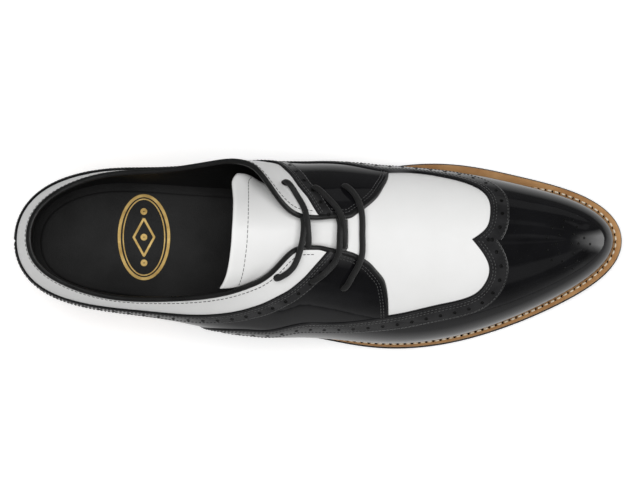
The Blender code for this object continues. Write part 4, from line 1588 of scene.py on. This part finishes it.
@dataclass
class Tongue:
    """Padded tongue under the throat, with a stitched line below its free top edge."""

    last: Last
    thick: float = 2.0
    setback: float = 6.2
    bow: float = 0.0034
    bow_at: float = 5.0
    corner: float = 3.2
    corner_from: float = 0.82
    corner_power: float = 2.5
    tuck: float = 4.0
    tuck_from: float = 0.6
    tuck_front: float = 138.0
    tuck_run: float = 25.0
    knee: float = 19.0
    knee_front: float = 112.0
    knee_run: float = 16.0
    round: float = 1.6
    edge: tuple[float, ...] = (0.0, 0.006, 0.016, 0.03, 0.05)
    edge_along: float = 0.35
    inner_from: float = 0.03
    inner_half: float = 0.92
    rows: int = 60
    columns: int = 41
    weld: float = 0.003
    stitch_points: int = 300
    stitch_down: float = 7.0
    stitch_bow: float = 1.5
    stitch_half: float = 0.97

    def grid(self, x: Array, across: Array) -> tuple[Array, Array]:
        """Points of the instep for stations and shares of the half width; the free end is stiff, and past a knee on
        its inner side it runs on straight instead of wrapping round the instep.

        Args:
            x: stations, rows by columns.
            across: shares of the half width, from -1 lateral to 1 medial, of the same shape.

        Returns:
            Points on the instep and directions out of it.
        """
        offset = self.half(x, across) * across
        held = np.minimum(offset, self.knee * (1 + ease((x - self.knee_front) / self.knee_run)))
        flat, out = self.last.over_instep(x.ravel(), (RIDGE.at("y", x) + held).ravel(), np.zeros(x.size))
        flat, out = flat.reshape(x.shape + (3,)), out.reshape(x.shape + (3,))
        flat[..., 1] += offset - held
        flat[..., 2] -= (offset - held) * out[..., 1] / out[..., 2]
        return flat, out

    @staticmethod
    def half(x: Array, across: Array) -> Array:
        """Half width on the side of the ridge that each share lies on."""
        return np.where(across > 0, TONGUE.at("medial", x), TONGUE.at("lateral", x))

    def depth(self, x: Array, across: Array) -> Array:
        """Depth of the outer face under the instep, its outer-side edge tucked in under the collar."""
        aside = np.clip((-across - self.tuck_from) / (1 - self.tuck_from), 0, 1)**2
        return TONGUE.at("drop", x) + self.tuck * aside * ease((self.tuck_front - x) / self.tuck_run)

    def stations(self, run: Array, across: Array) -> Array:
        """Stations for shares of the length.

        Args:
            run: shares of the length from the free edge.
            across: shares of the half width, of the same shape.

        Returns:
            Stations; the free edge is a parabola bowed forward, its inner corner rounded.
        """
        back = TONGUE["x"][0]
        offset = self.half(np.full_like(across, back), across) * across
        lean = self.bow * offset * (2 * self.bow_at - offset)
        turned = np.clip((across - self.corner_from) / (1 - self.corner_from), 0, 1)**self.corner_power
        start = back + self.setback + lean + self.corner * turned
        return start + (TONGUE["x"][-1] - start) * run

    def build(self) -> None:
        """Builds the tongue: depth under the instep from the table, rounded off at the free edges."""
        edge = np.array(self.edge)
        run = np.concatenate([edge * self.edge_along, np.linspace(self.inner_from, 1, self.rows)])
        inner = np.linspace(-self.inner_half, self.inner_half, self.columns)
        across = np.concatenate([-1 + edge, inner, 1 - edge[::-1]])
        run, across = np.meshgrid(run, across, indexing="ij")
        x = self.stations(run, across)
        flat, out = self.grid(x, across)
        near = np.minimum((1 - np.abs(across)) * self.half(x, across), run * (TONGUE["x"][-1] - TONGUE["x"][0]))
        full = rounded(near, self.round)
        middle = self.depth(x, across) + self.thick / 2
        faces = [flat - (middle - sign * self.thick / 2 * full)[..., None] * out for sign in (1, -1)]
        piece = Piece("tongue_leather", self.last)
        piece.sheet(*faces)
        piece.build(WHITE, "white_leather", "tongue", weld=self.weld)
        across = np.linspace(-self.stitch_half, self.stitch_half, self.stitch_points)
        x = self.stations(np.zeros_like(across), across) + self.stitch_down + self.stitch_bow * across**4
        flat, out = self.grid(x, across)
        thread = Piece("tongue_stitches", self.last)
        TONGUE_STITCH.sew(thread, flat - self.depth(x, across)[:, None] * out, out)
        thread.build(THREAD, "white_leather")


# Strands of the lace in the order it runs: how each enters and leaves sight, and its way over the instep.
STRANDS = [
    (Pass.EDGE, Pass.EYELET, Table("x y lift", (142.9, -3.0, 1.0), (142.0, 3.5, 2.7), (140.4, 13.4, 2.5),
                                   (136.5, 20.3, 2.8), (132.6, 24.3, 4.0))),
    (Pass.EDGE, Pass.EYELET, Table("x y lift", (158.4, 7.0, 1.0), (157.6, -0.2, 2.5), (156.6, -8.6, 2.6),
                                   (151.5, -15.5, 2.6), (145.8, -19.9, 2.4))),
    (Pass.EYELET, Pass.EYELET, Table("x y lift", (160.9, -23.0, 2.4), (163.8, -18.2, 2.5), (168.0, -10.4, 2.5),
                                     (169.0, 1.5, 2.1), (168.5, 13.7, 2.5), (165.7, 20.7, 2.5), (162.6, 24.1, 2.4))),
    (Pass.EYELET, Pass.EDGE, Table("x y lift", (147.7, 23.1, 2.4), (152.0, 19.0, 2.5), (157.6, 12.0, 2.6),
                                   (159.8, 4.5, 2.4), (160.3, -3.0, 1.0))),
    (Pass.EYELET, Pass.EDGE, Table("x y lift", (129.3, -19.0, 1.4), (134.0, -15.3, 2.1), (138.0, -5.9, 2.9),
                                   (139.8, 2.0, 2.6), (140.6, 7.5, 1.0))),
]

# How a strand goes on past its last row in sight: distance ahead and change of lift, for two further rows.
LEAVING = {Pass.EYELET: ((1.5, -0.9), (1.7, -3.6)), Pass.EDGE: ((3.2, -2.0), (6.5, -3.9))}


@dataclass
class Lacing:
    """One waxed lace through three pairs of punched eyelets; its hidden ends stop under the top pair."""

    last: Last
    wide: float = 1.6
    high: float = 1.25
    flat: float = 0.75
    under: float = -3.0
    flat_below: float = -2.0
    flat_run: float = 2.5
    eyelet_ahead: float = 1.1
    points: int = 1500
    sides: int = 14

    def hidden(self, rows: Array, way: Pass) -> Array:
        """Rows by which a strand leaves sight after its last row.

        Args:
            rows: visible rows of station, offset and lift, running towards the end in question.
            way: how it leaves.

        Returns:
            Further rows, carried on along the strand's own direction and down under the leather.
        """
        ahead = unit(rows[-1, :2] - rows[-2, :2])
        return np.array([[*(rows[-1, :2] + far * ahead), rows[-1, 2] + drop] for far, drop in LEAVING[way]])

    def punch(self) -> None:
        """Punches an eyelet where each strand goes down through the leather."""
        spots = []
        for enter, leave, strand in STRANDS:
            seen = strand.block("x y lift")
            for way, rows in ((enter, seen[::-1]), (leave, seen)):
                if way is Pass.EYELET:
                    ahead = unit(rows[-1, :2] - rows[-2, :2])
                    spots.append([*(rows[-1, :2] + self.eyelet_ahead * ahead), rows[-1, 2] - self.high])
        centres, out = self.last.over_instep(*np.array(spots).T)
        piece = Piece("eyelets", self.last)
        EYELET.strike(piece, centres, out)
        # The eyelets' near-black finish is painted shade of the holes that the lace goes down into.
        piece.build(HOLE_SHADE, "patent_leather")

    def route(self) -> Array:
        """Rows of the whole lace: each strand with its hidden ends, linked under the facings.

        Returns:
            Rows of station, offset and lift, in the order the lace runs.
        """
        rows: list[Array] = []
        for enter, leave, strand in STRANDS:
            seen = strand.block("x y lift")
            whole = np.concatenate([self.hidden(seen[::-1], enter)[::-1], seen, self.hidden(seen, leave)])
            if rows:
                middle = (rows[-1][-1] + whole[0]) / 2
                middle[2] = min(middle[2], self.under)
                rows.append(middle[None])
            rows.append(whole)
        return np.concatenate(rows)

    def build(self) -> None:
        """Builds the lace along its route, flattened where it is under the leather, and the punched eyelets."""
        self.punch()
        rows = self.route()
        run = run_of(rows)
        at = np.linspace(0, run[-1], self.points)
        x, y, lift = (spline(at, run, column) for column in rows.T)
        path, out = self.last.over_instep(x, y, lift)
        seen = ease((lift - self.flat_below) / self.flat_run)
        high = self.flat + (self.high - self.flat) * seen
        piece = Piece("lace", self.last)
        tube(piece, path, out, np.full_like(high, self.wide), high, self.sides)
        piece.build(LACE, "lace_cotton", "lace_bar", "lace_cross_middle", "lace_cross_top")


@dataclass
class Studio:
    """Pale floor, soft light and the camera over the shoe; floor and lamp are in metres."""

    last: Last
    target: tuple[float, float, float] = (149.0, 0.2, 40.0)
    distance: float = 1260.0
    tilt: float = 2.5
    roll: float = 0.38
    focal_pixels: float = 2505.0
    frame_width: int = 640
    sensor: float = 36.0
    floor_half: float = 2.5
    floor_level: float = -0.0004
    floor_glow: float = 0.35
    floor_tones: tuple[float, float] = (0.93, 0.1)
    floor_mirrored: tuple[float, float] = (1.2, 2.6)
    floor_aside: tuple[float, float, float] = (-1.0, 1.0, 0.6)
    lamp_size: float = 1.6
    lamp_height: float = 1.5
    lamp_watts: float = 30.0
    room: float = 0.05
    horizon: tuple[float, ...] = (0.6, 0.25, 0.01, 0.45)
    horizon_aside: tuple[float, float, float] = (0.0, -0.8, 0.1)
    patches: tuple[float, ...] = (0.5, 0.6, 0.0, 0.16)
    window: float = 3.3
    window_aside: tuple[float, float] = (0.54, 0.24)
    window_ahead: tuple[float, float] = (0.44, 0.95)
    window_fade: float = 1.6

    def camera(self) -> None:
        """Camera almost straight over the shoe, tipped to its outer side, on a long lens."""
        c, s = math.cos(math.radians(self.roll)), math.sin(math.radians(self.roll))
        right, ahead = np.array([c, -s, 0.0]), np.array([s, c, 0.0])
        tip = math.radians(self.tilt)
        up = math.cos(tip) * ahead + math.sin(tip) * UP
        back = math.cos(tip) * UP - math.sin(tip) * ahead
        place = self.last.framed(np.array(self.target) + self.distance * back)
        data = bpy.data.cameras.new("camera")
        data.sensor_fit = "HORIZONTAL"
        data.sensor_width = self.sensor
        data.lens = self.focal_pixels / self.frame_width * self.sensor
        camera = bpy.data.objects.new("camera", data)
        camera.matrix_world = Matrix(np.column_stack([np.vstack([right, up, back]).T, place]).tolist() + [[0, 0, 0, 1]])
        bpy.context.scene.collection.objects.link(camera)
        bpy.context.scene.camera = camera

    def floor(self) -> None:
        """Large pale sheet, lit from below as in a light tent: polish mirrors only the part of it close to the shoe."""
        data = bpy.data.meshes.new("floor")
        side = np.array([-self.floor_half, self.floor_half])
        corners = np.stack(np.meshgrid(side, side), -1).reshape(-1, 2)
        data.from_pydata(np.c_[corners, np.full(4, self.floor_level)].tolist(), [], [(0, 1, 3, 2)])
        paper = bpy.data.materials.new("floor_paper")
        paper.use_nodes = True
        graph = Graph(paper.node_tree)
        shader = paper.node_tree.nodes["Principled BSDF"]
        where = graph.add("ShaderNodeTexCoord")
        fibre = graph.add("ShaderNodeTexNoise", {"Vector": where.outputs["Object"], "Scale": 900.0})
        graph.tree.links.new(graph.ranged(fibre.outputs["Fac"], 0.0, 1.0, 0.7, 0.8), shader.inputs["Roughness"])
        low, high = (np.array(corner) for corner in CAD_BOX)
        offset = graph.add("ShaderNodeVectorMath", {0: where.outputs["Object"], 1: (low + high) / 2},
                           operation="SUBTRACT")
        scaled = graph.add("ShaderNodeVectorMath", {0: offset.outputs[0], 1: (high - low) / 2 * (1, 1, 1e3)},
                           operation="DIVIDE")
        reach = graph.add("ShaderNodeVectorMath", {0: scaled.outputs[0]}, operation="LENGTH").outputs["Value"]
        path = graph.add("ShaderNodeLightPath").outputs
        _, aside, _ = graph.add("ShaderNodeSeparateXYZ", {0: scaled.outputs[0]}).outputs
        beyond = graph.maths("MULTIPLY", graph.ranged(reach, *self.floor_mirrored),
                             graph.ranged(aside, *self.floor_aside))
        far = graph.maths("MULTIPLY", path["Is Glossy Ray"], beyond)
        near_tone, far_tone = ((tone, tone, tone, 1.0) for tone in self.floor_tones)
        tint = graph.add("ShaderNodeMix", {0: far, 6: near_tone, 7: far_tone}, data_type="RGBA")
        graph.tree.links.new(tint.outputs[2], shader.inputs["Base Color"])
        graph.tree.links.new(path["Is Camera Ray"], shader.inputs["Emission Color"])
        shader.inputs["Specular IOR Level"].default_value = 0.1
        shader.inputs["Emission Strength"].default_value = self.floor_glow
        data.materials.append(paper)
        floor = bpy.data.objects.new("floor", data)
        bpy.context.scene.collection.objects.link(floor)

    def lamp(self) -> None:
        """Soft square panel of light straight over the shoe, which polish doesn't mirror."""
        data = bpy.data.lights.new("overhead", "AREA")
        data.shape = "RECTANGLE"
        data.size = data.size_y = self.lamp_size
        data.energy = self.lamp_watts
        lamp = bpy.data.objects.new("overhead", data)
        lamp.location = (0.0, 0.0, self.lamp_height)
        lamp.visible_glossy = False
        bpy.context.scene.collection.objects.link(lamp)

    def sky(self) -> None:
        """Dim surroundings; polish mirrors a bright horizon, faint ragged patches and a window ahead of the toe."""
        world = bpy.data.worlds.new("studio")
        world.use_nodes = True
        graph = Graph(world.node_tree)
        where = graph.add("ShaderNodeTexCoord")
        ahead, aside, height = graph.add("ShaderNodeSeparateXYZ", {0: where.outputs["Generated"]}).outputs
        cloud = graph.add("ShaderNodeTexNoise", {"Vector": where.outputs["Generated"], "Scale": 2.6, "Detail": 1.0})
        level = graph.maths("MULTIPLY_ADD", cloud.outputs["Fac"], 0.5, height)
        low = graph.maths("MULTIPLY", graph.ranged(level, *self.horizon), graph.ranged(aside, *self.horizon_aside))
        ragged = graph.add("ShaderNodeTexNoise", {"Vector": where.outputs["Generated"], "Scale": 3.4, "Detail": 1.5})
        patches = graph.ranged(ragged.outputs["Fac"], *self.patches)
        narrow = graph.ranged(graph.maths("ABSOLUTE", aside), *self.window_aside)
        faded = graph.maths("POWER", graph.ranged(ahead, *self.window_ahead), self.window_fade)
        window = graph.maths("MULTIPLY", faded, narrow)
        mirrored = graph.maths("MULTIPLY_ADD", window, self.window, graph.maths("MAXIMUM", low, patches))
        path = graph.add("ShaderNodeLightPath").outputs
        glow = graph.maths("MULTIPLY_ADD", path["Is Glossy Ray"], mirrored, self.room)
        world.node_tree.nodes["Background"].inputs["Color"].default_value = (1.0, 1.0, 1.0, 1.0)
        graph.tree.links.new(glow, world.node_tree.nodes["Background"].inputs["Strength"])
        bpy.context.scene.world = world

    def build(self) -> None:
        """Sets the floor, lamp, surroundings, camera and plain colour response."""
        self.floor()
        self.lamp()
        self.sky()
        self.camera()
        bpy.context.scene.view_settings.view_transform = "Standard"


def main() -> None:
    """Builds every sub-assembly in order."""
    logging.basicConfig(level=logging.INFO, format="%(name)s %(message)s")
    last = Last()
    for part in (Studio(last), Sole(last), Upper(last), Wing(last), Quarters(last), Collar(last), Tongue(last),
                 Lacing(last)):
        part.build()
        LOG.info("%s done", type(part).__name__)


if __name__ == "__main__":
    main()
